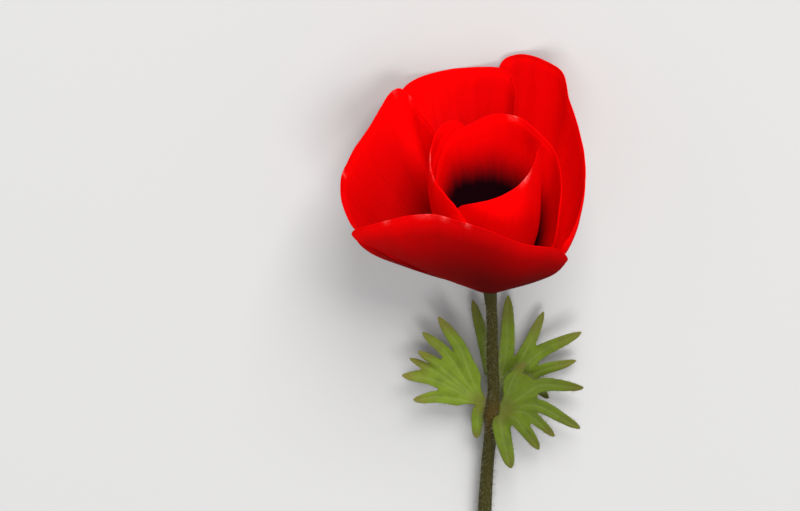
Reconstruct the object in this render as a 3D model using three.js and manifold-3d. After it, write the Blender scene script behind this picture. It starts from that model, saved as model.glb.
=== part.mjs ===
// A red anemone as picked: a half-open flower of seven tepals on a hairy stem with its whorl of
// three cut bracts, lying on a flat surface. Millimetres, +Z up.
//
// The flower has a frame of its own: x to the right, y to its back and z along its axis, from the
// point where the stem meets it. That frame is tipped over and set down so that its lowest tepals
// just touch the surface at z = 0.
import * as THREE from "three";
import { mergeVertices } from "three/addons/utils/BufferGeometryUtils.js";
import Module from "manifold-3d";

const wasm = await Module();
wasm.setup();

// Driving dimensions

const AXIS_LIFT = 20; // degrees between the flower's axis and the surface
const FLOWER_AT = [5.53, 38.87, 17.92]; // the flower's base, from the middle of the object's underside

const TEPAL_THICKNESS = 0.65;
const TEPAL_COLUMNS = 18;
const TEPAL_ROWS = 11;
const LOW_TURN = 0.75; // how far a rib has turned from its foot's azimuth to its rim's at the low body
const FOOT_LAYERING = 0.4; // how much of a tepal's layer its foot takes, and its low body
const BODY_LAYERING = 1.2;
const MARGIN_REACH = 0.3; // how far a margin is drawn along the rim, as a share of its length
const MARGIN_SHARPNESS = 6;

const PEDICEL_RADIUS = 1.1; // at the flower
const STEM_RADIUS = 1.5; // at the cut end
const STEM_NODE_RADIUS = 1.9; // the swelling that carries the bracts
const STEM_SIDES = 12;
const STEM_STEP = 5; // length of one step along the stem
const STEM_FULL_AT = 0.625; // share of the stem's length where it reaches its full radius
const RECEPTACLE = [[3.8, 1.7], [2, 1.75], [0.6, 1.9], [-0.5, 1.5]]; // height and radius, downwards

const CARPEL_HEAD = {
  profile: [[1.2, 4.1], [1.4, 4.9], [2.1, 5.8], [2.4, 7.2], [2.2, 8.9], [1.6, 10.4], [0.5, 11.4]],
  levels: 13,
  sides: 20,
  bump: 0.3,
  smoothLevels: 3, // levels without bumps at the foot
};

// Radii and heights run from the innermost stamen to the outermost.
const STAMENS = {
  count: 46,
  collar: { radius: 1.7, width: 0.6, foot: 4.1, top: 4.7, sides: 18 },
  root: { radius: 2, height: 4.5 },
  knee: { radius: [2.92, 3.05], height: 6.2 },
  tip: { radius: [3.3, 4.3], height: [11.2, 9.2] },
  filament: { radius: 0.26, sides: 3 },
  anther: { radius: 0.48, end: 0.24, below: 0.3, middle: 0.5, top: 1.3, lean: 0.05, sides: 4 },
};

const BRACT_THICKNESS = 0.8;
const BODY_ROWS = 5;
const BODY_COLUMNS = 14;
const LOBE_SIDES = 6;
const LOBE_STEPS = 7;
const LOBE_ROOT = 0.6; // where a lobe starts, between its bract's foot and the place where it parts
const LOBE_ROOT_GAIN = 0.4; // how much wider it is there than at its tip
const LOBE_ROUND_FROM = 0.75; // share of a lobe's length where its round tip begins
const LOBE_BLUNTNESS = 0.3; // width left at the very tip

const CURVE_DIVISIONS = 400; // steps in which a curve's length is measured
const WELD_DISTANCE = 1e-5; // points closer than this are one point
const FUSED_DETAIL = 0.04; // smaller steps than this are smoothed away where pieces are fused
const GOLDEN_ANGLE = Math.PI * (3 - Math.sqrt(5));

const FINISHES = {
  tepal: { colour: 0xc4120c, roughness: 0.6 },
  heart: { colour: 0x17101a, roughness: 0.7 },
  bract: { colour: 0x6f8f2a, roughness: 0.7 },
  stem: { colour: 0x5a5522, roughness: 0.7 },
};

// Each tepal: the radius and height of its foot and of its low body, and the angle that the foot
// spreads to each side; the azimuth of its claw (0 is the right, 90 the back); how far it lies
// outside the common cup at one margin, the middle and the other margin; the radius of its upper
// body as a share of its rim's, in the same three places, and its height as a share of the rim's;
// and its rim from margin to margin, anticlockwise seen from above the flower.
const OUTER = { foot: [2.6, 1.1], low: [10.2, 8.8], spread: 34 };
const INNER = { foot: [2.6, 2.9], low: [7.4, 8.4], spread: 44 };
const TEPALS = {
  outer_front: {
    ...OUTER,
    azimuth: -105,
    layer: [0.9, 0.4, 0.5],
    high: [0.77, 0.95, 0.78],
    highHeight: 0.58,
    rim: [
      [-20, -9, 16.2], [-27.5, -8.6, 22], [-21, -13.5, 29.9], [-12, -16.5, 34.5], [-3, -18.5, 33.1],
      [6, -18, 27.9], [12.4, -16, 24.7], [15.2, -13.2, 19.6], [12.6, -10.6, 14],
    ],
  },
  outer_left: {
    ...OUTER,
    azimuth: 170,
    layer: [-0.5, 0.2, -0.2],
    high: [0.9, 0.88, 0.76],
    highHeight: 0.55,
    rim: [
      [-9, 13, 19], [-11.1, 16.5, 26.7], [-14.2, 20, 29.6], [-18.2, 23, 32.6], [-24.3, 14, 30],
      [-28.3, 7, 27.6], [-29.9, 0.5, 26.2], [-27.3, -6, 21.8], [-20, -6, 16.5],
    ],
  },
  outer_back: {
    ...OUTER,
    azimuth: 92,
    layer: [-0.5, 0, 1],
    high: [0.88, 0.88, 0.88],
    highHeight: 0.6,
    rim: [
      [4.5, 15, 18], [4.8, 20.5, 29.2], [4.7, 25, 31.8], [3, 28, 33.2], [-4, 30, 32], [-12, 29.3, 30.9],
      [-16.9, 25.9, 30.6], [-18.7, 22.4, 27.6], [-13, 19, 19],
    ],
  },
  outer_right: {
    ...OUTER,
    azimuth: 22,
    layer: [-0.1, 0.2, 0.9],
    high: [1, 1, 1],
    highHeight: 0.58,
    rim: [
      [12, -8.2, 14], [14.3, -9.7, 19.7], [16.3, -8, 22], [18.6, 0, 27.7], [18, 8.5, 32],
      [15.5, 18, 34.6], [14.4, 23.2, 36.4], [11.3, 27.2, 36], [7, 30.4, 35.2], [2.6, 29.8, 34],
      [1.2, 27.4, 27], [1.6, 22, 18],
    ],
  },
  inner_left: {
    ...INNER,
    azimuth: 172,
    layer: [0.3, 0.2, 1.15],
    high: [1.12, 1.2, 1.2],
    highHeight: 0.62,
    rim: [
      [-3, 14, 20], [-4, 14.2, 27], [-5.3, 13.5, 31], [-7.4, 12, 33.6], [-10.3, 8.2, 35],
      [-11.7, 1.8, 34.4], [-11.1, -4.6, 33], [-8.9, -8.2, 32.2], [-6.9, -10.5, 31], [-4.5, -12, 27],
      [-4.6, -11.2, 19],
    ],
  },
  inner_back: {
    ...INNER,
    spread: 57,
    azimuth: 45,
    layer: [0.4, 0.05, -0.4],
    high: [1.05, 1.05, 1.02],
    highHeight: 0.62,
    rim: [
      [8.6, -5.6, 11], [12.2, -7, 17.5], [13.8, -2.5, 25.5], [13.7, 1, 29.7], [12.1, 6, 31.9],
      [8.3, 10.2, 33.7], [5.4, 12.2, 34.6], [0.6, 13.3, 34.2], [-3.8, 12.6, 32.3], [-7.2, 11, 31.3],
      [-9.3, 8.4, 29.6], [-10.5, 4.4, 27], [-10.3, 1, 23], [-8.8, -1, 17.5],
    ],
  },
  inner_front: {
    ...INNER,
    azimuth: -75,
    layer: [-0.6, -0.1, -0.5],
    high: [0.92, 1.12, 0.85],
    highHeight: 0.62,
    rim: [
      [-6.6, -7, 17], [-6.5, -8, 25], [-6.2, -9.8, 30.3], [-3, -11, 32.5], [0, -11, 33.3],
      [5, -8.3, 34.4], [8.2, -2.5, 34.4], [9.3, 2, 34.6], [9.6, 5.4, 32.5], [9.8, 5, 26],
      [9, 2.5, 19.5], [7.4, 0, 14],
    ],
  },
};

// The stem's middle from the flower's base to the cut end: to the right, towards the flower and up.
const STEM_ROUTE = [
  [0, 0, 0], [0.4, -8, -2.9], [0.6, -18, -6.3], [0.8, -30, -9.7], [-0.4, -45, -12.45], [-1, -62, -14.1],
  [-0.6, -82, -15.2], [1, -102, -15.98], [3.6, -121, -16.41],
];
const WHORL_AT = [0.8, -30, -9.7];
const STEM_NODE = { at: 33.5, length: 3 }; // along the stem, just below the whorl

// Each bract, from the middle of the whorl: the two ends of its foot, the outer edge of its
// undivided body, and its lobes, each with the place where it parts from the body, its tip and
// its width.
const BRACTS = {
  bract_left: {
    foot: [[-1.95, 2.4, 0.3], [-2.3, -1.5, -0.6]],
    edge: [
      [-3, 9.4, 0.1], [-6.4, 12, -0.8], [-9.5, 10.9, -1.4], [-11.2, 8.4, -1], [-11.6, 5, -0.8],
      [-9.4, 0.7, -0.8],
    ],
    lobes: [
      { part: [-6.6, 12.2, -0.9], tip: [-11.1, 19.9, 0.4], width: 2.6 },
      { part: [-9.3, 11, -1.5], tip: [-14.4, 15.2, -2.8], width: 2.2 },
      { part: [-11.1, 8.9, -0.8], tip: [-15.2, 12.7, 1.4], width: 2.2 },
      { part: [-11.6, 7.3, -1.3], tip: [-17, 9.5, -2.4], width: 1.9 },
      { part: [-11.7, 5.5, -0.8], tip: [-18.5, 7, 0.2], width: 2.5 },
      { part: [-10.3, 1.9, -0.8], tip: [-16.2, 1.6, 0.4], width: 2.6 },
      { part: [-4, -2, -2.3], tip: [-3.5, -8.4, -4.6], width: 2.2 },
    ],
  },
  bract_back: {
    foot: [[2.1, 0.2, -2.2], [-0.9, 0.6, -2.4]],
    edge: [
      [7.8, 4.6, -3.9], [9, 8.4, -3.4], [7.4, 11.4, -3.8], [4.6, 9.4, -3.8], [2.7, 10.4, -3.8],
      [0.8, 9, -3.8], [-1.7, 9.6, -3.8],
    ],
    lobes: [
      { part: [-1.2, 10, -3.6], tip: [-4.2, 21.6, -4.2], width: 2.4 },
      { part: [2.7, 10.8, -3.8], tip: [3, 22.4, -4.8], width: 2.7 },
      { part: [7, 11.6, -3.9], tip: [10.2, 18.8, -4.8], width: 2.3 },
      { part: [9, 10.2, -3.3], tip: [17.8, 15.6, -1.6], width: 2.6 },
      { part: [8.8, 6, -3.9], tip: [16.8, 8, -5], width: 2.4 },
      { part: [7.6, 3.4, -3.9], tip: [11.3, -0.4, -4.9], width: 2.1 },
    ],
  },
  bract_front: {
    foot: [[1.7, -1.8, 1.6], [1.9, 1.8, 0.9]],
    edge: [
      [1.8, -4.2, 2.6], [4.3, -3.4, 1.2], [6.6, -1.7, -0.4], [8.4, 0.6, -0.7], [9, 3.6, -0.6],
      [6.9, 7, -0.2], [2.4, 8.6, 1.3],
    ],
    lobes: [
      { part: [9.2, 4.4, -0.6], tip: [18.3, 4.4, 0.6], width: 2.6 },
      { part: [8.4, 0.2, -0.7], tip: [17.7, -5, -0.4], width: 2.5 },
      { part: [6.8, -1.6, -0.6], tip: [12.5, -7.4, -2], width: 2.1 },
      { part: [5, -2.9, 0.6], tip: [9.4, -9.8, -0.8], width: 2.4 },
      { part: [1.7, -3.9, 3.3], tip: [3.6, -12, 3.6], width: 3 },
    ],
  },
};

// Curves and closed surfaces

const radians = THREE.MathUtils.degToRad;
const pointAt = (place) => new THREE.Vector3(...place);

function splineOf(places) {
  const curve = new THREE.CatmullRomCurve3(places.map(pointAt), false, "centripetal");
  curve.arcLengthDivisions = CURVE_DIVISIONS;
  return curve;
}

// The turn from one azimuth to another, the short way round.
function turnBetween(from, to) {
  return THREE.MathUtils.euclideanModulo(to - from + Math.PI, 2 * Math.PI) - Math.PI;
}

// A value that runs from one margin, u = -1, through the middle to the other, u = 1.
function across([left, middle, right], u) {
  return middle + ((right - left) / 2) * u + ((left + right) / 2 - middle) * u * u;
}

function fromPolar(radius, azimuth, height) {
  return new THREE.Vector3(radius * Math.cos(azimuth), radius * Math.sin(azimuth), height);
}

// A closed surface over a grid of points: rows of equal length, the same on both faces of a blade.
function bladeGeometry(rows, thickness) {
  const height = rows.length;
  const width = rows[0].length;
  const within = (k, count) => THREE.MathUtils.clamp(k, 0, count - 1);
  const at = (i, j) => rows[within(i, height)][within(j, width)];
  const faces = [[], []];
  for (let i = 0; i < height; i++) {
    for (let j = 0; j < width; j++) {
      const along = at(i + 1, j).clone().sub(at(i - 1, j));
      const side = at(i, j + 1).clone().sub(at(i, j - 1));
      const normal = side.cross(along).normalize();
      faces[0].push(at(i, j).clone().addScaledVector(normal, thickness / 2));
      faces[1].push(at(i, j).clone().addScaledVector(normal, -thickness / 2));
    }
  }
  const index = [];
  const under = height * width;
  for (let i = 0; i < height - 1; i++) {
    for (let j = 0; j < width - 1; j++) {
      const a = i * width + j;
      const [b, c, d] = [a + 1, a + 1 + width, a + width];
      index.push(a, b, c, a, c, d);
      index.push(under + a, under + c, under + b, under + a, under + d, under + c);
    }
  }
  const edge = [];
  for (let j = 0; j < width - 1; j++) edge.push(j);
  for (let i = 0; i < height - 1; i++) edge.push(i * width + width - 1);
  for (let j = width - 1; j > 0; j--) edge.push((height - 1) * width + j);
  for (let i = height - 1; i > 0; i--) edge.push(i * width);
  edge.forEach((a, k) => {
    const b = edge[(k + 1) % edge.length];
    index.push(a, under + a, under + b, a, under + b, b);
  });
  return geometryOf([...faces[0], ...faces[1]], index);
}

function geometryOf(points, index) {
  const geometry = new THREE.BufferGeometry();
  geometry.setFromPoints(points);
  geometry.setIndex(index);
  return geometry;
}

// A closed tube through rings of equal count, with flat ends.
function tubeGeometry(rings) {
  const sides = rings[0].length;
  const points = rings.flat();
  const index = [];
  for (let i = 0; i < rings.length - 1; i++) {
    for (let j = 0; j < sides; j++) {
      const next = (j + 1) % sides;
      const [a, b] = [i * sides + j, i * sides + next];
      index.push(a, b, b + sides, a, b + sides, a + sides);
    }
  }
  const last = (rings.length - 1) * sides;
  for (let j = 1; j < sides - 1; j++) {
    index.push(0, j + 1, j);
    index.push(last, last + j, last + j + 1);
  }
  return geometryOf(points, index);
}

function solidOf(geometry) {
  const bare = geometry.clone();
  bare.deleteAttribute("normal");
  bare.deleteAttribute("uv");
  const merged = mergeVertices(bare, WELD_DISTANCE);
  return new wasm.Manifold(
    new wasm.Mesh({
      numProp: 3,
      vertProperties: new Float32Array(merged.getAttribute("position").array),
      triVerts: new Uint32Array(merged.getIndex().array),
    }),
  );
}

function largestBody(solid) {
  const bodies = solid.decompose();
  return bodies.reduce((best, body) => (body.volume() > best.volume() ? body : best));
}

function fuse(geometries) {
  let whole = solidOf(geometries[0]);
  for (const geometry of geometries.slice(1)) whole = whole.add(solidOf(geometry));
  const mesh = largestBody(whole.simplify(FUSED_DETAIL)).getMesh();
  const geometry = new THREE.BufferGeometry();
  const position = new THREE.BufferAttribute(new Float32Array(mesh.vertProperties), 3);
  geometry.setAttribute("position", position);
  geometry.setIndex(new THREE.BufferAttribute(new Uint32Array(mesh.triVerts), 1));
  return geometry;
}

// Tepals

// A tepal is a fan of ribs, each a smooth curve from the claw to the rim. The rib's place across
// the tepal is u, from -1 at one margin to 1 at the other, and v runs from the claw to the rim.
function tepalPoint(tepal, rimCurve, u, v) {
  const share = (u + 1) / 2;
  const rim = rimCurve.getPointAt(share);
  const claw = radians(tepal.azimuth);
  const turn = turnBetween(claw, Math.atan2(rim.y, rim.x));
  const footTurn = radians(tepal.spread) * u;
  const lowTurn = THREE.MathUtils.lerp(footTurn, turn, LOW_TURN);
  const layer = across(tepal.layer, u);
  const [footRadius, footHeight] = tepal.foot;
  const [lowRadius, lowHeight] = tepal.low;
  const footOut = FOOT_LAYERING * layer;
  const lowOut = BODY_LAYERING * layer;
  const base = fromPolar(footRadius + footOut, claw + footTurn, footHeight - footOut);
  const low = fromPolar(lowRadius + lowOut, claw + lowTurn, lowHeight - lowOut);
  const highRadius = across(tepal.high, u) * Math.hypot(rim.x, rim.y);
  const high = fromPolar(highRadius, claw + turn, tepal.highHeight * rim.z);
  const reach = Math.sign(u) * MARGIN_REACH * rim.distanceTo(base);
  const margin = rim.clone().addScaledVector(rimCurve.getTangentAt(share), reach);
  high.lerp(margin, Math.abs(u) ** MARGIN_SHARPNESS);
  return new THREE.CubicBezierCurve3(base, low, high, rim).getPoint(v);
}

function tepalGeometry(tepal) {
  const rimCurve = splineOf(tepal.rim);
  const rows = [];
  for (let i = 0; i <= TEPAL_ROWS; i++) {
    const row = [];
    for (let j = 0; j <= TEPAL_COLUMNS; j++) {
      row.push(tepalPoint(tepal, rimCurve, (2 * j) / TEPAL_COLUMNS - 1, i / TEPAL_ROWS));
    }
    rows.push(row);
  }
  return bladeGeometry(rows, TEPAL_THICKNESS);
}

// Heart of the flower

// The domed head of carpels, with a low point on every other place of its rings.
function carpelHeadGeometry() {
  const { profile, levels, sides, bump, smoothLevels } = CARPEL_HEAD;
  const outline = splineOf(profile.map(([radius, height]) => [radius, 0, height]));
  const rings = [];
  for (let i = 0; i <= levels; i++) {
    const { x: radius, z: height } = outline.getPointAt(i / levels);
    const ring = [];
    for (let j = 0; j < sides; j++) {
      const raised = i >= smoothLevels && i < levels && (i + j) % 2 === 1;
      ring.push(fromPolar(radius + (raised ? bump : 0), (2 * Math.PI * j) / sides, height));
    }
    rings.push(ring);
  }
  return tubeGeometry(rings);
}

// Points of a small ring that stands level, with its middle on the given azimuth.
function levelRing(radius, azimuth, height, size, sides) {
  return Array.from({ length: sides }, (_, k) =>
    fromPolar(size, azimuth + (2 * Math.PI * k) / sides, 0).add(fromPolar(radius, azimuth, height)),
  );
}

function stamenGeometries(number) {
  const { count, root, knee, tip, filament, anther } = STAMENS;
  const azimuth = number * GOLDEN_ANGLE;
  const share = (number + 0.5) / count;
  const [kneeRadius, radius, height] = [knee.radius, tip.radius, tip.height].map(
    ([first, last]) => THREE.MathUtils.lerp(first, last, share),
  );
  const stalkRing = (r, z) => levelRing(r, azimuth, z, filament.radius, filament.sides);
  const pouchRing = (out, z, size) => levelRing(radius + out, azimuth, height + z, size, anther.sides);
  return [
    tubeGeometry([
      stalkRing(root.radius, root.height),
      stalkRing(kneeRadius, knee.height),
      stalkRing(radius, height),
    ]),
    tubeGeometry([
      pouchRing(0, -anther.below, anther.end),
      pouchRing(anther.lean, anther.middle, anther.radius),
      pouchRing(2 * anther.lean, anther.top, anther.end),
    ]),
  ];
}

// The stamens stand on a collar round the foot of the carpels.
function stamensGeometry() {
  const { radius, width, foot, top, sides } = STAMENS.collar;
  const outside = radius + width;
  const outline = [[radius, foot], [outside, foot], [outside, top], [radius, top], [radius, foot]];
  const collar = new THREE.LatheGeometry(outline.map(([r, z]) => new THREE.Vector2(r, z)), sides);
  collar.rotateX(Math.PI / 2);
  const pieces = [collar];
  for (let number = 0; number < STAMENS.count; number++) pieces.push(...stamenGeometries(number));
  return fuse(pieces);
}

// Stem

// Rings of a tube along a line that runs roughly from back to front.
function ringAround({ centre, along, radius }) {
  const up = new THREE.Vector3(1, 0, 0).cross(along).normalize();
  const side = along.clone().cross(up).normalize();
  return Array.from({ length: STEM_SIDES }, (_, k) => {
    const turn = (2 * Math.PI * k) / STEM_SIDES;
    return centre
      .clone()
      .addScaledVector(side, radius * Math.cos(turn))
      .addScaledVector(up, -radius * Math.sin(turn));
  });
}

function stemGeometry() {
  const curve = splineOf(STEM_ROUTE);
  const length = curve.getLength();
  const axis = new THREE.Vector3(0, Math.cos(radians(AXIS_LIFT)), Math.sin(radians(AXIS_LIFT)));
  const stations = RECEPTACLE.map(([height, radius]) => ({
    centre: axis.clone().multiplyScalar(height),
    along: axis,
    radius,
  }));
  const steps = Math.round(length / STEM_STEP);
  for (let i = 1; i <= steps; i++) {
    const share = i / steps;
    const swelling = Math.exp(-(((share * length - STEM_NODE.at) / STEM_NODE.length) ** 2));
    const grown = Math.min(1, share / STEM_FULL_AT);
    const plain = THREE.MathUtils.lerp(PEDICEL_RADIUS, STEM_RADIUS, grown);
    stations.push({
      centre: curve.getPointAt(share),
      along: curve.getTangentAt(share).negate(),
      radius: THREE.MathUtils.lerp(plain, STEM_NODE_RADIUS, swelling),
    });
  }
  return tubeGeometry(stations.reverse().map(ringAround));
}

// Bracts

// The undivided body of a bract: a blade from its foot to its outer edge.
function bractBodyGeometry({ foot, edge }) {
  const edgeCurve = splineOf(edge);
  const rows = [];
  for (let i = 0; i <= BODY_ROWS; i++) {
    const row = [];
    for (let j = 0; j <= BODY_COLUMNS; j++) {
      const share = j / BODY_COLUMNS;
      const start = pointAt(foot[0]).lerp(pointAt(foot[1]), share);
      row.push(start.lerp(edgeCurve.getPointAt(share), i / BODY_ROWS));
    }
    rows.push(row);
  }
  return bladeGeometry(rows, BRACT_THICKNESS);
}

// A lobe is a strip from inside the bract's body, past the place where it parts, to its round tip.
function lobeGeometry({ foot }, { part, tip, width }) {
  const footMiddle = pointAt(foot[0]).lerp(pointAt(foot[1]), 0.5);
  const root = footMiddle.lerp(pointAt(part), LOBE_ROOT);
  const curve = splineOf([root.toArray(), part, tip]);
  const rings = [];
  for (let i = 0; i <= LOBE_STEPS; i++) {
    const share = i / LOBE_STEPS;
    const centre = curve.getPointAt(share);
    const along = curve.getTangentAt(share);
    const side = new THREE.Vector3(0, 0, 1).cross(along).normalize();
    const up = along.clone().cross(side).normalize();
    const pastRound = Math.max(0, (share - LOBE_ROUND_FROM) / (1 - LOBE_ROUND_FROM));
    const rounding = Math.max(LOBE_BLUNTNESS, Math.sqrt(1 - pastRound ** 2));
    const half = (width / 2) * (1 + LOBE_ROOT_GAIN * (1 - share) ** 2) * rounding;
    const flat = (BRACT_THICKNESS / 2) * Math.sqrt(rounding);
    rings.push(
      Array.from({ length: LOBE_SIDES }, (_, k) => {
        const turn = (2 * Math.PI * k) / LOBE_SIDES;
        return centre
          .clone()
          .addScaledVector(side, half * Math.cos(turn))
          .addScaledVector(up, -flat * Math.sin(turn));
      }),
    );
  }
  return tubeGeometry(rings.reverse());
}

function bractGeometry(bract) {
  return fuse([bractBodyGeometry(bract), ...bract.lobes.map((lobe) => lobeGeometry(bract, lobe))]);
}

// Assembly

function material({ colour, roughness }) {
  return new THREE.MeshStandardMaterial({ color: colour, roughness, metalness: 0 });
}

function mesh(name, geometry, finish) {
  const made = new THREE.Mesh(geometry, finish);
  made.name = name;
  return made;
}

function flowerGroup() {
  const group = new THREE.Group();
  group.position.set(...FLOWER_AT);
  group.rotation.x = radians(AXIS_LIFT - 90);
  const red = material(FINISHES.tepal);
  const dark = material(FINISHES.heart);
  for (const [name, tepal] of Object.entries(TEPALS)) {
    group.add(mesh(name, tepalGeometry(tepal), red));
  }
  group.add(mesh("carpels", carpelHeadGeometry(), dark));
  group.add(mesh("stamens", stamensGeometry(), dark));
  return group;
}

function stemGroup() {
  const group = new THREE.Group();
  group.position.set(...FLOWER_AT);
  group.add(mesh("stem", stemGeometry(), material(FINISHES.stem)));
  const whorl = new THREE.Group();
  whorl.position.set(...WHORL_AT);
  const green = material(FINISHES.bract);
  for (const [name, bract] of Object.entries(BRACTS)) {
    whorl.add(mesh(name, bractGeometry(bract), green));
  }
  group.add(whorl);
  return group;
}

const anemone = new THREE.Group();
anemone.add(flowerGroup(), stemGroup());

export default anemone;
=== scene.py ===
"""A red anemone as picked, lying on a pale surface: the fine pieces and finishes for its frame.

Each operator makes one kind of piece round the frame's solids: the tepals, the heart of stamens
and carpels, the stem and the bracts, the last two with their hairs. One more makes the floor, the
lights and the camera.
Sizes in the tables are millimetres. Sizes that a user may change are metres, as Blender has them.
"""

import math

import bpy
import numpy as np
from bpy.props import FloatProperty, FloatVectorProperty, IntProperty, PointerProperty
from mathutils import Matrix, Vector


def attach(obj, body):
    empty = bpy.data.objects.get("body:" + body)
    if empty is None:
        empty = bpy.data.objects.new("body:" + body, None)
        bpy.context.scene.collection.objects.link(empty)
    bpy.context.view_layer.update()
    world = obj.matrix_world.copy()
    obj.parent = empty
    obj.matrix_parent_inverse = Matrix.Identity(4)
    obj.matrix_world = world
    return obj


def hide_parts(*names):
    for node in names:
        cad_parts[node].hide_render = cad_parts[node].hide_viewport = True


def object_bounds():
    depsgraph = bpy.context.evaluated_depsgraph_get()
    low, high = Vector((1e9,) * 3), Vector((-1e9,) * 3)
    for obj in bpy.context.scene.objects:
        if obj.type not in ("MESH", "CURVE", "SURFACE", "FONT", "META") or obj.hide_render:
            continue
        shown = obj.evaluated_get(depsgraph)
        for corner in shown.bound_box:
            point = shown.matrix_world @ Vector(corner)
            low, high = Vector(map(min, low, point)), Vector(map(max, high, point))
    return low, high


bl_info = {
    "name": "Anemone flower",
    "version": (1, 0, 0),
    "blender": (4, 5, 0),
    "location": "View3D > Sidebar > Anemone",
    "description": "Builds a red anemone as picked, piece by piece, and the stage it lies on",
    "category": "Object",
}

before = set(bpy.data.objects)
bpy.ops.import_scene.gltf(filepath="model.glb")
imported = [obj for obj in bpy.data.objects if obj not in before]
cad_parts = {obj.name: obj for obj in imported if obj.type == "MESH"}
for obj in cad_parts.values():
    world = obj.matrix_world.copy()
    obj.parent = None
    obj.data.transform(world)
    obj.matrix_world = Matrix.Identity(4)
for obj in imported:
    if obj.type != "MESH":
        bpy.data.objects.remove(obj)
CAD_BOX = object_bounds()

MM = 0.001
BODY = "root"
BOX = np.array(CAD_BOX) / MM
FLAT = np.array([1, 1, 0])  # times a point, lays it flat
GOLDEN_ANGLE = math.pi * (3 - math.sqrt(5))
SEEDS = {"tepals": 40, "stem": 11, "bracts": 70, "stamens": 5, "carpels": 9}

# The flower's own frame: x to the right, y to its back and z along its axis.
AXIS_LIFT = math.radians(20)  # between the flower's axis and the floor
FLOWER_AT = np.array([5.53, 38.87, 17.92])  # the flower's base in the frame

# What the tepals have in common
SOLID_BLADE = 0.65  # thickness of their solids
LOW_TURN = 0.75  # how far a rib has turned to its rim's azimuth at the low body
FOOT_LAYERING = 0.4  # how far one layer lies outside the next at the foot
BODY_LAYERING = 1.2  # and at the low body
MARGIN_REACH = 0.3  # how far the margins are drawn out, as a share of their length
MARGIN_SHARPNESS = 6  # the larger, the nearer to the margin that starts
CLAW_ROOT = {"radius": 1.5, "drop": 0.3, "rows": 3}  # where a claw meets the receptacle
ROW_CROWDING = 0.9  # below 1, rows of points crowd towards the rim
FLOOR_GAP = 0.02  # the least that a blade is above the floor
THIN_EDGE = {"share": 0.38, "width": 2.2}  # how thin a blade's edge is, and how far in it thins

# The tepals' pleats and swells start this far up a blade, which lies this far inside its solid for
# them. Each kind has the distances that stand for a half width and for the length, its waves'
# lengths and their height.
PLEATS_FROM = 0.3
PLEAT_ROOM = 0.15
PLEATS = {"across": 20, "along": 6, "lengths": (3.2, 9), "height": 0.05}
SWELLS = {"across": 20, "along": 30, "lengths": (13, 16), "height": 0.13}

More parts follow.
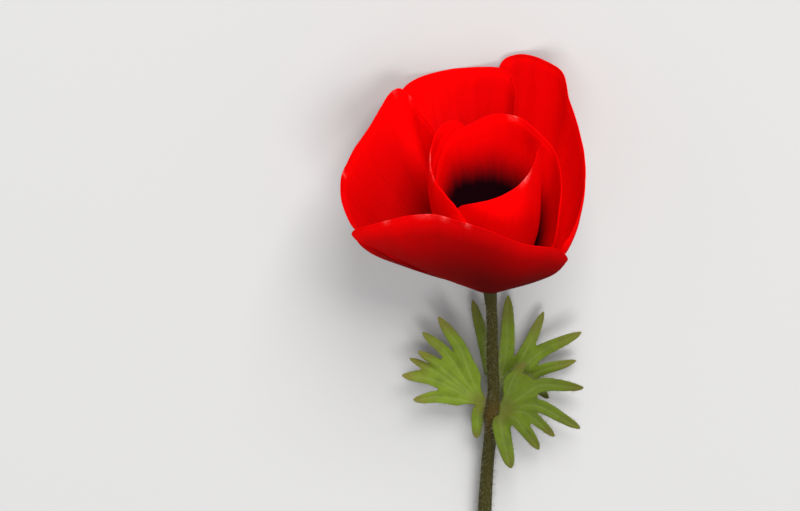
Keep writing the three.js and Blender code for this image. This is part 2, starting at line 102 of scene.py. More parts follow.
# Each tepal, as its solid has it: the radius and height of its foot and of its low body, the
# angle that the foot spreads to each side, the azimuth of its claw, how far it lies outside the
# common cup from margin to margin, the radius of its upper body as a share of its rim's, its
# height as a share of the rim's, and its rim from margin to margin. A swell is a bulge that the
# solid lacks: its place between the margins and along the blade, its half width and half length
# in the same shares, and its height.
OUTER = {"foot": (2.6, 1.1), "low": (10.2, 8.8), "spread": 34}
INNER = {"foot": (2.6, 2.9), "low": (7.4, 8.4), "spread": 44}
TEPALS = {
    "outer_front": {
        **OUTER,
        "azimuth": -105,
        "layer": (0.9, 0.4, 0.5),
        "high": (0.77, 0.95, 0.78),
        "high_height": 0.58,
        "rim": [
            (-20, -9, 16.2), (-27.5, -8.6, 22), (-21, -13.5, 29.9), (-12, -16.5, 34.5),
            (-3, -18.5, 33.1), (6, -18, 27.9), (12.4, -16, 24.7), (15.2, -13.2, 19.6),
            (12.6, -10.6, 14),
        ],
    },
    "outer_left": {
        **OUTER,
        "azimuth": 170,
        "layer": (-0.5, 0.2, -0.2),
        "high": (0.9, 0.88, 0.76),
        "high_height": 0.55,
        "rim": [
            (-9, 13, 19), (-11.1, 16.5, 26.7), (-14.2, 20, 29.6), (-18.2, 23, 32.6),
            (-24.3, 14, 30), (-28.3, 7, 27.6), (-29.9, 0.5, 26.2), (-27.3, -6, 21.8),
            (-20, -6, 16.5),
        ],
    },
    "outer_back": {
        **OUTER,
        "azimuth": 92,
        "layer": (-0.5, 0, 1),
        "high": (0.88, 0.88, 0.88),
        "high_height": 0.6,
        "rim": [
            (4.5, 15, 18), (4.8, 20.5, 29.2), (4.7, 25, 31.8), (3, 28, 33.2), (-4, 30, 32),
            (-12, 29.3, 30.9), (-16.9, 25.9, 30.6), (-18.7, 22.4, 27.6), (-13, 19, 19),
        ],
    },
    "outer_right": {
        **OUTER,
        "azimuth": 22,
        "layer": (-0.1, 0.2, 0.9),
        "high": (1, 1, 1),
        "high_height": 0.58,
        "rim": [
            (12, -8.2, 14), (14.3, -9.7, 19.7), (16.3, -8, 22), (18.6, 0, 27.7),
            (18, 8.5, 32), (15.5, 18, 34.6), (14.4, 23.2, 36.4), (11.3, 27.2, 36),
            (7, 30.4, 35.2), (2.6, 29.8, 34), (1.2, 27.4, 27), (1.6, 22, 18),
        ],
    },
    "inner_left": {
        **INNER,
        "azimuth": 172,
        "layer": (0.3, 0.2, 1.15),
        "high": (1.12, 1.2, 1.2),
        "high_height": 0.62,
        "rim": [
            (-3, 14, 20), (-4, 14.2, 27), (-5.3, 13.5, 31), (-7.4, 12, 33.6),
            (-10.3, 8.2, 35), (-11.7, 1.8, 34.4), (-11.1, -4.6, 33), (-8.9, -8.2, 32.2),
            (-6.9, -10.5, 31), (-4.5, -12, 27), (-4.6, -11.2, 19),
        ],
    },
    "inner_back": {
        **INNER,
        "spread": 57,
        "azimuth": 45,
        "layer": (0.4, 0.05, -0.4),
        "high": (1.05, 1.05, 1.02),
        "high_height": 0.62,
        "rim": [
            (8.6, -5.6, 11), (12.2, -7, 17.5), (13.8, -2.5, 25.5), (13.7, 1, 29.7),
            (12.1, 6, 31.9), (8.3, 10.2, 33.7), (5.4, 12.2, 34.6), (0.6, 13.3, 34.2),
            (-3.8, 12.6, 32.3), (-7.2, 11, 31.3), (-9.3, 8.4, 29.6), (-10.5, 4.4, 27),
            (-10.3, 1, 23), (-8.8, -1, 17.5),
        ],
    },
    "inner_front": {
        **INNER,
        "swell": {"side": 0.2, "along": 0.42, "width": 0.26, "length": 0.28, "height": 1.8},
        "azimuth": -75,
        "layer": (-0.6, -0.1, -0.5),
        "high": (0.92, 1.12, 0.85),
        "high_height": 0.62,
        "rim": [
            (-6.6, -7, 17), (-6.5, -8, 25), (-6.2, -9.8, 30.3), (-3, -11, 32.5),
            (0, -11, 33.3), (5, -8.3, 34.4), (8.2, -2.5, 34.4), (9.3, 2, 34.6),
            (9.6, 5.4, 32.5), (9.8, 5, 26), (9, 2.5, 19.5), (7.4, 0, 14),
        ],
    },
}

# Painted light and shade of each tepal's two faces: how light each face is painted at five places
# from the low body to the rim, how much lighter it is painted towards the last margin, and its
# painted stretches, darker or lighter lengthwise stretches of painted shade and light, each a
# place between the margins, a half width and how dark it is. The depth is how far up the
# near-black of the foot reaches on the inside at five places from margin to margin: partly the
# flower's own dark base, partly painted shade deep in the cup. The patches are painted
# highlights on the rim, each a place, a half width and a strength. The rim's shade is painted
# shade, how much darker the last of the blade is, where that isn't as usual.
PAINTED_LIGHT_AT = (0.4, 0.55, 0.7, 0.85, 1)
DEPTH_AT = (-1, -0.5, 0, 0.5, 1)
OUTSIDE_DEPTH = 0.2
USUAL_DEPTH = (0.3, 0.36, 0.42, 0.36, 0.3)
USUAL_RIM_SHADE = 0.2
RIM_SHADE_FROM = 0.97
PATCHES_FROM = 0.955
SEED_STEP = 7.3  # how far apart the tepals' places in the noise are
# Painted shade of the tepals' outsides: the plain one darker towards the low body, the full one
# nearly even
PLAIN_BACK = ((0.4, 0.5, 0.6, 0.7, 0.85), 0, [])
FULL_BACK = ((0.9, 0.9, 0.95, 1, 1), 0, [])
SHADES = {
    "outer_front": {
        "inside": ((0.2, 0.3, 0.45, 0.65, 0.8), 0.5, [(-0.98, 0.16, 0.6)]),
        "outside": (
            (0.12, 0.17, 0.27, 0.4, 0.85), -0.6, [(0.17, 0.25, 0.32), (-1, 0.06, 0.35)],
        ),
        "depth": USUAL_DEPTH,
        "patches": [(-0.4, 0.02, 0.7), (-0.15, 0.05, 0.4), (-0.04, 0.02, 0.6), (0.09, 0.015, 0.5)],
    },
    "outer_left": {
        "inside": ((0.26, 0.42, 0.5, 0.67, 0.85), -0.3, [(-0.42, 0.16, -0.6)]),
        "outside": PLAIN_BACK,
        "depth": USUAL_DEPTH,
        "patches": [(-0.46, 0.01, 0.5), (-0.34, 0.008, 0.6), (0.34, 0.012, 1)],
    },
    "outer_back": {
        "inside": ((0.4, 0.46, 0.55, 0.92, 1), 0.4, [(0.25, 0.25, 0.1)]),
        "outside": PLAIN_BACK,
        "depth": USUAL_DEPTH,
        "patches": [],
    },
    "outer_right": {
        "inside": (
            (1, 0.95, 0.88, 0.96, 1), -0.15,
            [(0.46, 0.035, 0.22), (0.42, 0.1, 0.15), (0.22, 0.1, 0.1), (-0.6, 0.2, -0.2)],
        ),
        "outside": PLAIN_BACK,
        "depth": (0.2, 0.2, 0.25, 0.3, 0.3),
        "patches": [(-0.48, 0.01, 1)],
    },
    "inner_left": {
        "inside": ((0.9, 1, 1, 1, 1), 0, []),
        "outside": FULL_BACK,
        "depth": (0.5, 0.66, 0.76, 0.66, 0.5),
        "patches": [(0.04, 0.05, 0.8), (0.14, 0.03, 0.5), (0.22, 0.02, 0.4)],
        "rim_shade": 0,
    },
    "inner_back": {
        "inside": ((0.7, 0.75, 0.8, 0.9, 1), 0, [(-0.4, 0.22, 0.28)]),
        "outside": FULL_BACK,
        "depth": (0.8, 0.68, 0.82, 0.92, 0.84),
        "patches": [(0.08, 0.022, 0.9)],
    },
    "inner_front": {
        "inside": ((0.8, 0.9, 1, 1, 1), 0, []),
        "outside": ((1, 1, 1, 0.95, 0.95), 0, [(0.05, 0.12, 0.2)]),
        "depth": (0.66, 0.76, 0.76, 0.66, 0.5),
        "patches": [(-0.035, 0.055, 1)],
    },
}

# The stamens' collar and each stamen's foot, bend and top, as radii and heights, the last two for
# the innermost and the outermost stamen. The neck is how far it is inside and below the top. The
# scatter is of a stamen's turn, of its top's radius and height, and of its bend's and neck's turns.
STAMEN_COLLAR = np.array([(1.4, 4.1), (2.3, 4.1), (2.4, 4.4), (2.3, 4.7), (1.4, 4.7)])
COLLAR_SIDES = 48
STAMEN_FOOT = (2.05, 4.4)
STAMEN_BEND = np.array([(3.05, 6.2), (3.35, 6.2)])
STAMEN_TOP = np.array([(3.35, 11.1), (4.3, 9.2)])
STAMEN_NECK = (0.1, 1.6)
STAMEN_SCATTER = (0.05, 0.1, 0.35, 0.03, 0.04)
FILAMENT = {"foot_radius": 0.13, "taper": 0.05, "rings": 9, "sides": 6, "tip": 0.3}
ANTHER = {
    "radius": 0.34, "lobing": 0.22, "low": -0.35, "high": 1.25, "blunt": 0.02, "tilt": 0.22,
    "rings": 9, "sides": 10, "tip": 1,
}

ASLANT = (0.3, 1, 0.1)  # a direction that no stamen or style follows

# The dome of carpels, as radii and heights from its foot to its top, and the styles on it: the
# share of the outline where the first stands, and each one's rings as height, width, rise and how
# far they count as its tip. A tip is dustier than the rest.
CARPEL_HEAD = [
    (1.2, 4.1), (1.4, 4.9), (2.1, 5.8), (2.4, 7.2), (2.2, 8.9), (1.6, 10.4), (0.5, 11.4),
]
CORE = {"inset": 0.12, "rings": 36, "sides": 48}
STYLES = {
    "first": 0.14, "inset": 0.1, "tilt": 0.12, "foot_size": 0.19, "top_size": 0.14, "sides": 7,
}
STYLE_RINGS = np.array([
    (0, 0.8, 0, 0), (0.14, 1, 0, 0.2), (0.3, 0.85, 0, 0.5), (0.46, 0.4, 0.06, 0.8),
    (0.6, 0.14, 0.06, 1),
])

# The stem's middle from the flower's base to the cut end, measured from the base. The receptacle
# is heights and radii on the flower's axis.
STEM_ROUTE = [
    (0, 0, 0), (0.4, -8, -2.9), (0.6, -18, -6.3), (0.8, -30, -9.7), (-0.4, -45, -12.45),
    (-1, -62, -14.1), (-0.6, -82, -15.2), (1, -102, -15.98), (3.6, -121, -16.41),
]
RECEPTACLE = [(3.8, 1.7), (2, 1.75), (0.6, 1.9), (-0.5, 1.5)]
RECEPTACLE_REACH = 5  # how far down the stem its form still leads
PEDICEL_RADIUS = 1.1
STEM_RADIUS = 1.5
STEM_FULL_AT = 0.625  # the share of its length where the stem has its full radius
STEM_NODE = {"at": 33.5, "length": 3, "radius": 1.9}
STEM_FLUSH = {"at": 37, "length": 4}  # along the stem from the receptacle's top
STEM_RINGS = 420
STEM_SIDES = 48
STEM_RIBS = {"count": 9, "twist": 0.015, "height": 0.035}
STEM_WAVES = {"across": 3, "lengths": (9, 4, 4), "height": 0.03}
STEM_ROOM = 0.05  # how far the stem's skin lies inside its solid's, for the ribs
CUT_END = [(0.93, 0.02), (0.7, 0.05), (0.4, 0.16), (0.15, 0.2)]  # shares of the radius, and dish
CUT_FALL = 0.9  # how far the cut's value falls from its middle to the skin

# Each bract: how light it is painted, less than 1 for painted shade, and from the middle of the
# whorl the two ends of its foot, the outer edge of its undivided body, and its lobes as the place
# where each parts from the body, its tip and width.
WHORL_AT = np.array([0.8, -30, -9.7])
BRACTS = {
    "bract_left": {
        "painted_light": 1,
        "foot": [(-1.95, 2.4, 0.3), (-2.3, -1.5, -0.6)],
        "edge": [
            (-3, 9.4, 0.1), (-6.4, 12, -0.8), (-9.5, 10.9, -1.4), (-11.2, 8.4, -1),
            (-11.6, 5, -0.8), (-9.4, 0.7, -0.8),
        ],
        "lobes": [
            ((-6.6, 12.2, -0.9), (-11.1, 19.9, 0.4), 2.6),
            ((-9.3, 11, -1.5), (-14.4, 15.2, -2.8), 2.2),
            ((-11.1, 8.9, -0.8), (-15.2, 12.7, 1.4), 2.2),
            ((-11.6, 7.3, -1.3), (-17, 9.5, -2.4), 1.9),
            ((-11.7, 5.5, -0.8), (-18.5, 7, 0.2), 2.5),
            ((-10.3, 1.9, -0.8), (-16.2, 1.6, 0.4), 2.6),
            ((-2.9, -0.9, -0.5), (-3.4, -8.4, -3.6), 2.2),
        ],
    },
    "bract_back": {
        "painted_light": 0.75,
        "foot": [(2.1, 0.2, -2.2), (-0.9, 0.6, -2.4)],
        "edge": [
            (7.8, 4.6, -3.9), (9, 8.4, -3.4), (7.4, 11.4, -3.8), (4.6, 9.4, -3.8),
            (2.7, 10.4, -3.8), (0.8, 9, -3.8), (-1.7, 9.6, -3.8),
        ],
        "lobes": [
            ((-1.2, 10, -3.6), (-4.2, 21.6, -4.2), 2.4),
            ((2.7, 10.8, -3.8), (3, 22.4, -4.8), 2.7),
            ((7, 11.6, -3.9), (10.2, 18.8, -4.8), 2.3),
            ((9, 10.2, -3.3), (17.8, 15.6, -1.6), 2.6),
            ((8.8, 6, -3.9), (16.8, 8, -5), 2.4),
            ((7.6, 3.4, -3.9), (11.3, -0.4, -4.9), 2.1),
        ],
    },
    "bract_front": {
        "painted_light": 0.6,
        "foot": [(1.7, -1.8, 1.6), (1.9, 1.8, 0.9)],
        "edge": [
            (1.8, -4.2, 2.6), (4.3, -3.4, 1.2), (6.6, -1.7, -0.4), (8.4, 0.6, -0.7),
            (9, 3.6, -0.6), (6.9, 7, -0.2), (2.4, 8.6, 1.3),
        ],
        "lobes": [
            ((9.2, 4.4, -0.6), (18.3, 4.4, 0.6), 2.6),
            ((8.4, 0.2, -0.7), (17.7, -5, -0.4), 2.5),
            ((6.8, -1.6, -0.6), (12.5, -7.4, -2), 2.1),
            ((5, -2.9, 0.6), (9.4, -9.8, -0.8), 2.4),
            ((1.5, -2.4, 2.7), (3.6, -12, 3.6), 3),
            ((4, 6.4, 0.5), (6.3, 10, 0.4), 2.3),
        ],
    },
}
BRACT_BLADE = 0.5  # thickness
FOOT_SINK = 0.35  # how far a bract's foot is drawn in to the stem

# A body's corners start at this share of the way from its edge's middle to its ends, and are drawn
# in by this share. A margin curve above 1 hollows its margins.
CORNER = {"from": 0.66, "draw": 0.36}
MARGIN_CURVE = 1.35
BODY_GRID = {"columns": 61, "rows": 21}

# A lobe starts at LOBE_ROOT of the way from the bract's foot to its parting place. Of its own
# length, LOBE_ROUNDING is its round root, and it tapers from the place that LOBE_TAPER gives.
LOBE_ROOT = 0.45
LOBE_ROUNDING = 0.14
LOBE_TAPER = {"from": 0.62, "fullness": 1.9, "bluntness": 0.6, "least": 0.1}
LOBE_WAIST = {"swell": 0.12, "waves": 1.4, "root_gain": 0.2}
LOBE_DEPTH = {"root": 1.05, "fall": 0.25, "squareness": 0.7}
LOBE_GRID = {"rings": 56, "sides": 20}
MELT_SMOOTHING = {"factor": 0.5, "iterations": 8}

# How a flat bract gets its heights: the reach of a known point, how much one of the body counts
# beside one of a lobe, a faint pull for places that none reaches, and where a lobe's points are.
RAISE = {"reach": 1.1, "body_weight": 0.25, "far_pull": 1e-12, "least_gap": 1e-3}
RAISE_SHARES = np.linspace(0.1, 1, 31)

# The bracts' relief, stain and hairs
RIB_SHARES = np.linspace(0, 1, 60)
RIB = {"width": 0.24, "top_groove": 0.1, "under_groove": 0.16}
CUSHION = {"width": 1.1, "height": 0.22}  # the blade's rise between its ribs
FACING = (0.2, 0.8)  # how steeply a place faces up or down where grooves start and are full
BRACT_WAVES = {"lengths": (7, 7, 7), "height": 0.16}
BRACT_FREE = (2.5, 8)  # from where to where outward the relief grows
FOOT_STAIN = (1, 4)  # from where to where outward the brown of the foot fades
EDGE_HAIRS = {"from": 0.3, "to": 0.9, "more": 3, "least": 0.35}  # more hairs at a bract's edge

# The hairs: how far their places are scattered, their lengths, how much their aim varies, how far
# they droop and how deep they are rooted. A hair's rings are shares of its length and its width.
STEM_HAIRS = {
    "slot": "stem", "scatter": 0.12, "lengths": (0.5, 1.5), "spread": 0.28, "droop": 0.12,
    "sink": 0.1,
}
BRACT_HAIRS = {
    "slot": "bract", "scatter": 0, "lengths": (0.35, 0.95), "spread": 0.4, "droop": 0.08,
    "sink": 0.05,
}
HAIR_RINGS = [(0, 1), (0.45, 0.75), (0.8, 0.4)]
HAIR_SIDES = 3
HAIR_CAPS = [(6, 7, 9), (7, 8, 9), (8, 6, 9), (2, 1, 0)]  # the faces at its point and its root
HAIR_CLEARANCE = 0.06  # above the floor
HAIRLESS = {"top": 6.5, "cut": 1}  # how much of the stem's two ends is bare

# Colours that go with those a user may change
SHADOW_RED = (0.01, 0.0001, 0.0002)
GLOW_RED = (0.98, 0.002, 0.002)
ANTHER_DUST = (0.035, 0.028, 0.06)
CARPEL_DUST = (0.03, 0.02, 0.035)
STEM_STREAK = (0.045, 0.043, 0.004)
STEM_SPOT = (0.02, 0.012, 0.002)
CUT_PITH = (0.36, 0.38, 0.16)
CUT_RING = (0.22, 0.24, 0.07)
BRACT_MOTTLE = (0.085, 0.135, 0.012)
BRACT_RIB = (0.22, 0.27, 0.06)
BRACT_FOOT = (0.1, 0.085, 0.01)
BRACT_SHADOW = (0.01, 0.012, 0.001)
BRACT_GLOW = (0.28, 0.36, 0.025)
HAIR_TINT = (0.2, 0.18, 0.1)
HAIR_GLOW = (0.4, 0.38, 0.24)
FLOOR_GRAIN = (0.36, 0.36, 0.345)
SKY_COLOUR = (0.93, 0.95, 1, 1)

# The photograph's view: its size, the pixel that shows the flower's base, and millimetres a pixel.
IMAGE_SIZE = (800, 511)
BASE_PIXEL = (490, 287)
PIXEL = 0.2
VIEW_TILT = math.radians(22)  # from straight above towards the flower's open side
SENSOR_WIDTH = 36

# The stage, in metres
FLOOR_HALF = 3
LIGHTS_AIM = (0.005, 0.06, 0.02)
KEY_LIGHT = {"place": (0.45, 2.1, 2), "size": 1.4}
FILL_LIGHT = {"place": (0.5, -0.6, 3), "size": 1.5}


# What a user may change


def colour_property(name, description, default):
    return FloatVectorProperty(
        name=name, description=description, default=default, subtype="COLOR", size=3, min=0, max=1,
    )


def length_property(name, description, default, low, high):
    return FloatProperty(
        name=name, description=description, default=default, min=low, max=high, unit="LENGTH",
        precision=6,
    )


def power_property(name, description, default):
    return FloatProperty(name=name, description=description, default=default, min=0, unit="POWER")


def count_property(name, description, default, low, high):
    return IntProperty(name=name, description=description, default=default, min=low, max=high)


class AnemoneTepals(bpy.types.PropertyGroup):
    """Sizes and colours of the tepals"""

    thickness: length_property(
        "Thickness", "Thickness of a tepal in its middle", 0.00042, 0.0002, 0.0006,
    )
    columns: count_property("Columns", "Faces across each tepal", 150, 20, 200)
    rows: count_property("Rows", "Faces along each tepal", 96, 20, 150)
    red: colour_property("Red", "Colour of the blade", (0.95, 0.0008, 0.0014))
    deep_red: colour_property("Deep red", "Colour of the veins", (0.5, 0.0004, 0.0006))
    # Near black of the claw and the cup: the flower's dark base, with painted shade deep in the cup
    foot: colour_property(
        "Foot", "Colour of the claw and of the cup's depth", (0.006, 0.0008, 0.002),
    )
    # The pale patches on the rims are painted highlights
    rim: colour_property("Rim", "Colour of the thin pale patches on the rims", (0.9, 0.16, 0.15))


class AnemoneHeart(bpy.types.PropertyGroup):
    """Sizes and colours of the stamens and carpels"""

    stamens: count_property("Stamens", "Number of stamens", 120, 20, 200)
    styles: count_property("Styles", "Number of carpels with a style", 210, 50, 400)
    anther: colour_property("Anther", "Colour of the stamens", (0.012, 0.008, 0.022))
    carpel: colour_property("Carpel", "Colour of the carpels", (0.008, 0.006, 0.01))


class AnemoneGreens(bpy.types.PropertyGroup):
    """Sizes and colours of the stem, the bracts and their hairs"""

    stem: colour_property("Stem", "Colour of the stem", (0.026, 0.023, 0.0025))
    stem_node: colour_property(
        "Stem node", "Red-brown flush where the bracts stand", (0.045, 0.025, 0.002),
    )
    bract: colour_property("Bract", "Colour of the bracts", (0.145, 0.21, 0.013))
    bract_tip: colour_property(
        "Bract tip", "Red-brown flush at the tips of the lobes", (0.17, 0.13, 0.025),
    )
    hair: colour_property("Hair", "Colour of the fine hairs", (0.34, 0.32, 0.2))
    bract_voxel: length_property(
        "Bract detail", "Size of the grid that melts a bract's lobes together", 0.00016, 0.0001,
        0.0005,
    )
    stem_hairs: count_property("Stem hairs", "Number of hairs on the stem", 5200, 0, 10000)
    bract_hairs: count_property("Bract hairs", "Number of hairs on each bract", 1500, 0, 5000)
    hair_radius: length_property(
        "Hair radius", "Radius of a hair at its root", 0.000022, 0.00001, 0.0001,
    )


class AnemoneStage(bpy.types.PropertyGroup):
    """The floor, the lights and the camera's distance"""

    floor: colour_property("Floor", "Colour of the floor", (0.4, 0.396, 0.388))
    key_power: power_property("Key light", "Power of the soft light beyond the open flower", 118)
    fill_power: power_property("Fill light", "Power of the wide light overhead", 65)
    sky: FloatProperty(
        name="Sky", description="Brightness of the surroundings", default=0.5, min=0,
    )
    camera_distance: length_property(
        "Camera distance", "From the camera to the flower", 2.4, 0.3, 6,
    )


# Shapes from formulas


def smooth_step(value, low, high):
    """0 up to low, 1 from high on, and a smooth climb between them."""
    share = np.clip((value - low) / (high - low), 0, 1)
    return share * share * (3 - 2 * share)


def hump(value, place, half):
    """1 at a place and nearly 0 from twice the half width on."""
    return np.exp(-(((value - place) / half) ** 2))


def across(values, u):
    """A value that runs from one margin, u = -1, through the middle to the other, u = 1."""
    left, middle, right = values
    return middle + (right - left) / 2 * u + ((left + right) / 2 - middle) * u * u


def turns(count):
    """Even steps of a full turn."""
    return np.linspace(0, 2 * math.pi, count, endpoint=False)


def from_polar(radius, azimuth, height):
    """Points at these radii and azimuths round the axis and at these heights."""
    radius, azimuth, height = np.broadcast_arrays(radius, azimuth, height)
    return np.stack([radius * np.cos(azimuth), radius * np.sin(azimuth), height], axis=-1)


def unit(vectors):
    """The vectors' directions, each 1 long."""
    return vectors / np.maximum(np.linalg.norm(vectors, axis=-1, keepdims=True), 1e-12)


def wave_sum(random, coordinates, lengths, count=7):
    """A smooth uneven height of about -1 to 1 over coordinates, with waves of these lengths."""
    total = np.zeros(coordinates[0].shape)
    for _ in range(count):
        shift, *_ = random.uniform(0, 2 * math.pi, len(coordinates))
        slant = unit(random.normal(size=len(coordinates)))
        phase = sum(
            2 * math.pi * place * share / length
            for place, share, length in zip(coordinates, slant, lengths)
        )
        total += np.sin(phase * random.uniform(0.7, 1.4) + shift)
    return total / math.sqrt(count)


def distances_along(points):
    """How far along a line each of its points is."""
    steps = np.linalg.norm(np.diff(points, axis=0), axis=1)
    return np.concatenate([[0], np.cumsum(steps)])


class Spline:
    """A smooth curve through points, read at shares of its length."""

    DIVISIONS = 400
    STEP = 1e-4

    def __init__(self, points):
        self.points = np.array(points, float)
        self.times = np.linspace(0, 1, self.DIVISIONS + 1)
        self.distances = distances_along(self.by_time(self.times))
        self.length = self.distances[-1]

    def by_time(self, time):
        """Centripetal Catmull-Rom, with each end drawn on in a straight line."""
        known = self.points
        padded = np.vstack([2 * known[0] - known[1], known, 2 * known[-1] - known[-2]])
        roots = np.sqrt(np.linalg.norm(np.diff(padded, axis=0), axis=1))
        count = len(known) - 1
        place = np.clip(time, 0, 1) * count
        index = np.minimum(place.astype(int), count - 1)
        weight = (place - index)[:, None]
        p0, p1, p2, p3 = (padded[index + k] for k in range(4))
        before, here, after = (roots[index + k][:, None] for k in range(3))
        start = here * ((p1 - p0) / before - (p2 - p0) / (before + here) + (p2 - p1) / here)
        end = here * ((p2 - p1) / here - (p3 - p1) / (here + after) + (p3 - p2) / after)
        return (
            p1
            + start * weight
            + (3 * (p2 - p1) - 2 * start - end) * weight**2
            + (2 * (p1 - p2) + start + end) * weight**3
        )

    def time_at(self, share):
        return np.interp(np.atleast_1d(share) * self.length, self.distances, self.times)

    def at(self, share):
        return self.by_time(self.time_at(share))

    def direction_at(self, share):
        time = self.time_at(share)
        after = self.by_time(np.minimum(time + self.STEP, 1))
        before = self.by_time(np.maximum(time - self.STEP, 0))
        return unit(after - before)


def surface_normals(grid):
    """Normals of a grid of points, rows along and columns across."""
    return unit(np.cross(np.gradient(grid, axis=1), np.gradient(grid, axis=0)))


def blade_faces(rows, columns):
    """Faces of a closed blade: two grids of rows by columns points, and the strip round them."""
    first = np.arange(rows * columns).reshape(rows, columns)
    second = rows * columns
    quads = np.stack([first[:-1, :-1], first[:-1, 1:], first[1:, 1:], first[1:, :-1]], axis=-1)
    quads = quads.reshape(-1, 4)
    loop = np.concatenate([first[0, :-1], first[:-1, -1], first[-1, :0:-1], first[:0:-1, 0]])
    after = np.roll(loop, -1)
    strip = np.stack([loop, loop + second, after + second, after], axis=-1)
    return np.concatenate([quads, (quads + second)[:, ::-1], strip])


def circles(side, other, count):
    """Unit circles round many centres, each in the plane of two directions."""
    turn = turns(count)[:, None]
    return side[:, None] * np.cos(turn) + other[:, None] * np.sin(turn)


def tube_points(centres, directions, radii, sides, reference=(1, 0, 0)):
    """Rings of points round a line, one row for each centre."""
    up = unit(np.cross(reference, directions))
    side = unit(np.cross(directions, up))
    radii = np.broadcast_to(radii, (len(centres), sides))
    return centres[:, None] + circles(side, up, sides) * radii[..., None]


def tube_faces(rings, sides, closed_ends=True):
    """Faces of a tube whose points run ring by ring."""
    grid = np.arange(rings * sides).reshape(rings, sides)
    after = np.roll(grid, -1, axis=1)
    quads = np.stack([grid[:-1], after[:-1], after[1:], grid[1:]], axis=-1).reshape(-1, 4)
    faces = [tuple(quad) for quad in quads]
    if closed_ends:
        faces += [tuple(grid[0, ::-1]), tuple(grid[-1])]
    return faces


def flower_to_frame(points):
    """From the flower's own frame, in millimetres, to the frame's."""
    sine, cosine = math.sin(AXIS_LIFT), math.cos(AXIS_LIFT)
    turned = np.array([[1, 0, 0], [0, sine, cosine], [0, -cosine, sine]])
    return points @ turned.T + FLOWER_AT


class Gathered:
    """Points, faces and a value at each point, gathered from many small parts."""

    def __init__(self):
        self.points = []
        self.faces = []
        self.values = []

    def add(self, points, faces, value=0):
        points = points.reshape(-1, 3)
        start = len(self.points)
        self.points.extend(points)
        self.faces.extend(tuple(corner + start for corner in face) for face in faces)
        self.values.extend(np.broadcast_to(value, len(points)))

    def add_tube(self, rings, value=0):
        self.add(rings, tube_faces(*rings.shape[:2]), value)


def new_mesh(name, points, faces):
    """A mesh of points in millimetres."""
    mesh = bpy.data.meshes.new(name)
    corners = (np.reshape(points, (-1, 3)) * MM).tolist()
    mesh.from_pydata(corners, [], [tuple(face) for face in faces])
    return mesh


def new_object(name, data):
    """An object that is linked to the scene."""
    made = bpy.data.objects.new(name, data)
    bpy.context.scene.collection.objects.link(made)
    return made


def add_piece(name, points, faces, finish, replaces=None, values=None):
    """A piece that rides on the frame, with its values for the shader at each point."""
    mesh = new_mesh(name, points, faces)
    mesh.materials.append(finish)
    mesh.polygons.foreach_set("use_smooth", np.ones(len(mesh.polygons), bool))
    for key, numbers in (values or {}).items():
        attribute = mesh.attributes.new(key, "FLOAT", "POINT")
        attribute.data.foreach_set("value", np.ravel(numbers).astype(np.float32))
    mesh.update()
    piece = new_object(name, mesh)
    if replaces:
        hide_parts(replaces)
    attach(piece, BODY)


# Shaders


class Shade:
    """A socket of a material's node tree. Arithmetic on it adds Math nodes."""

    def __init__(self, finish, socket):
        self.finish = finish
        self.socket = socket

    def maths(self, operation, *values):
        settings = {"operation": operation}
        return self.finish.node("ShaderNodeMath", settings, dict(enumerate(values)))

    def __add__(self, other):
        return self.maths("ADD", self, other)

    def __sub__(self, other):
        return self.maths("SUBTRACT", self, other)

    def __rsub__(self, other):
        return self.maths("SUBTRACT", other, self)

    def __mul__(self, other):
        return self.maths("MULTIPLY", self, other)

    __radd__ = __add__
    __rmul__ = __mul__

    def sine(self):
        return self.maths("SINE", self)

    def step(self, low, high):
        """A smooth step from 0 at low to 1 at high."""
        return self.finish.node(
            "ShaderNodeMapRange",
            {"interpolation_type": "SMOOTHSTEP"},
            {"Value": self, "From Min": low, "From Max": high},
        )


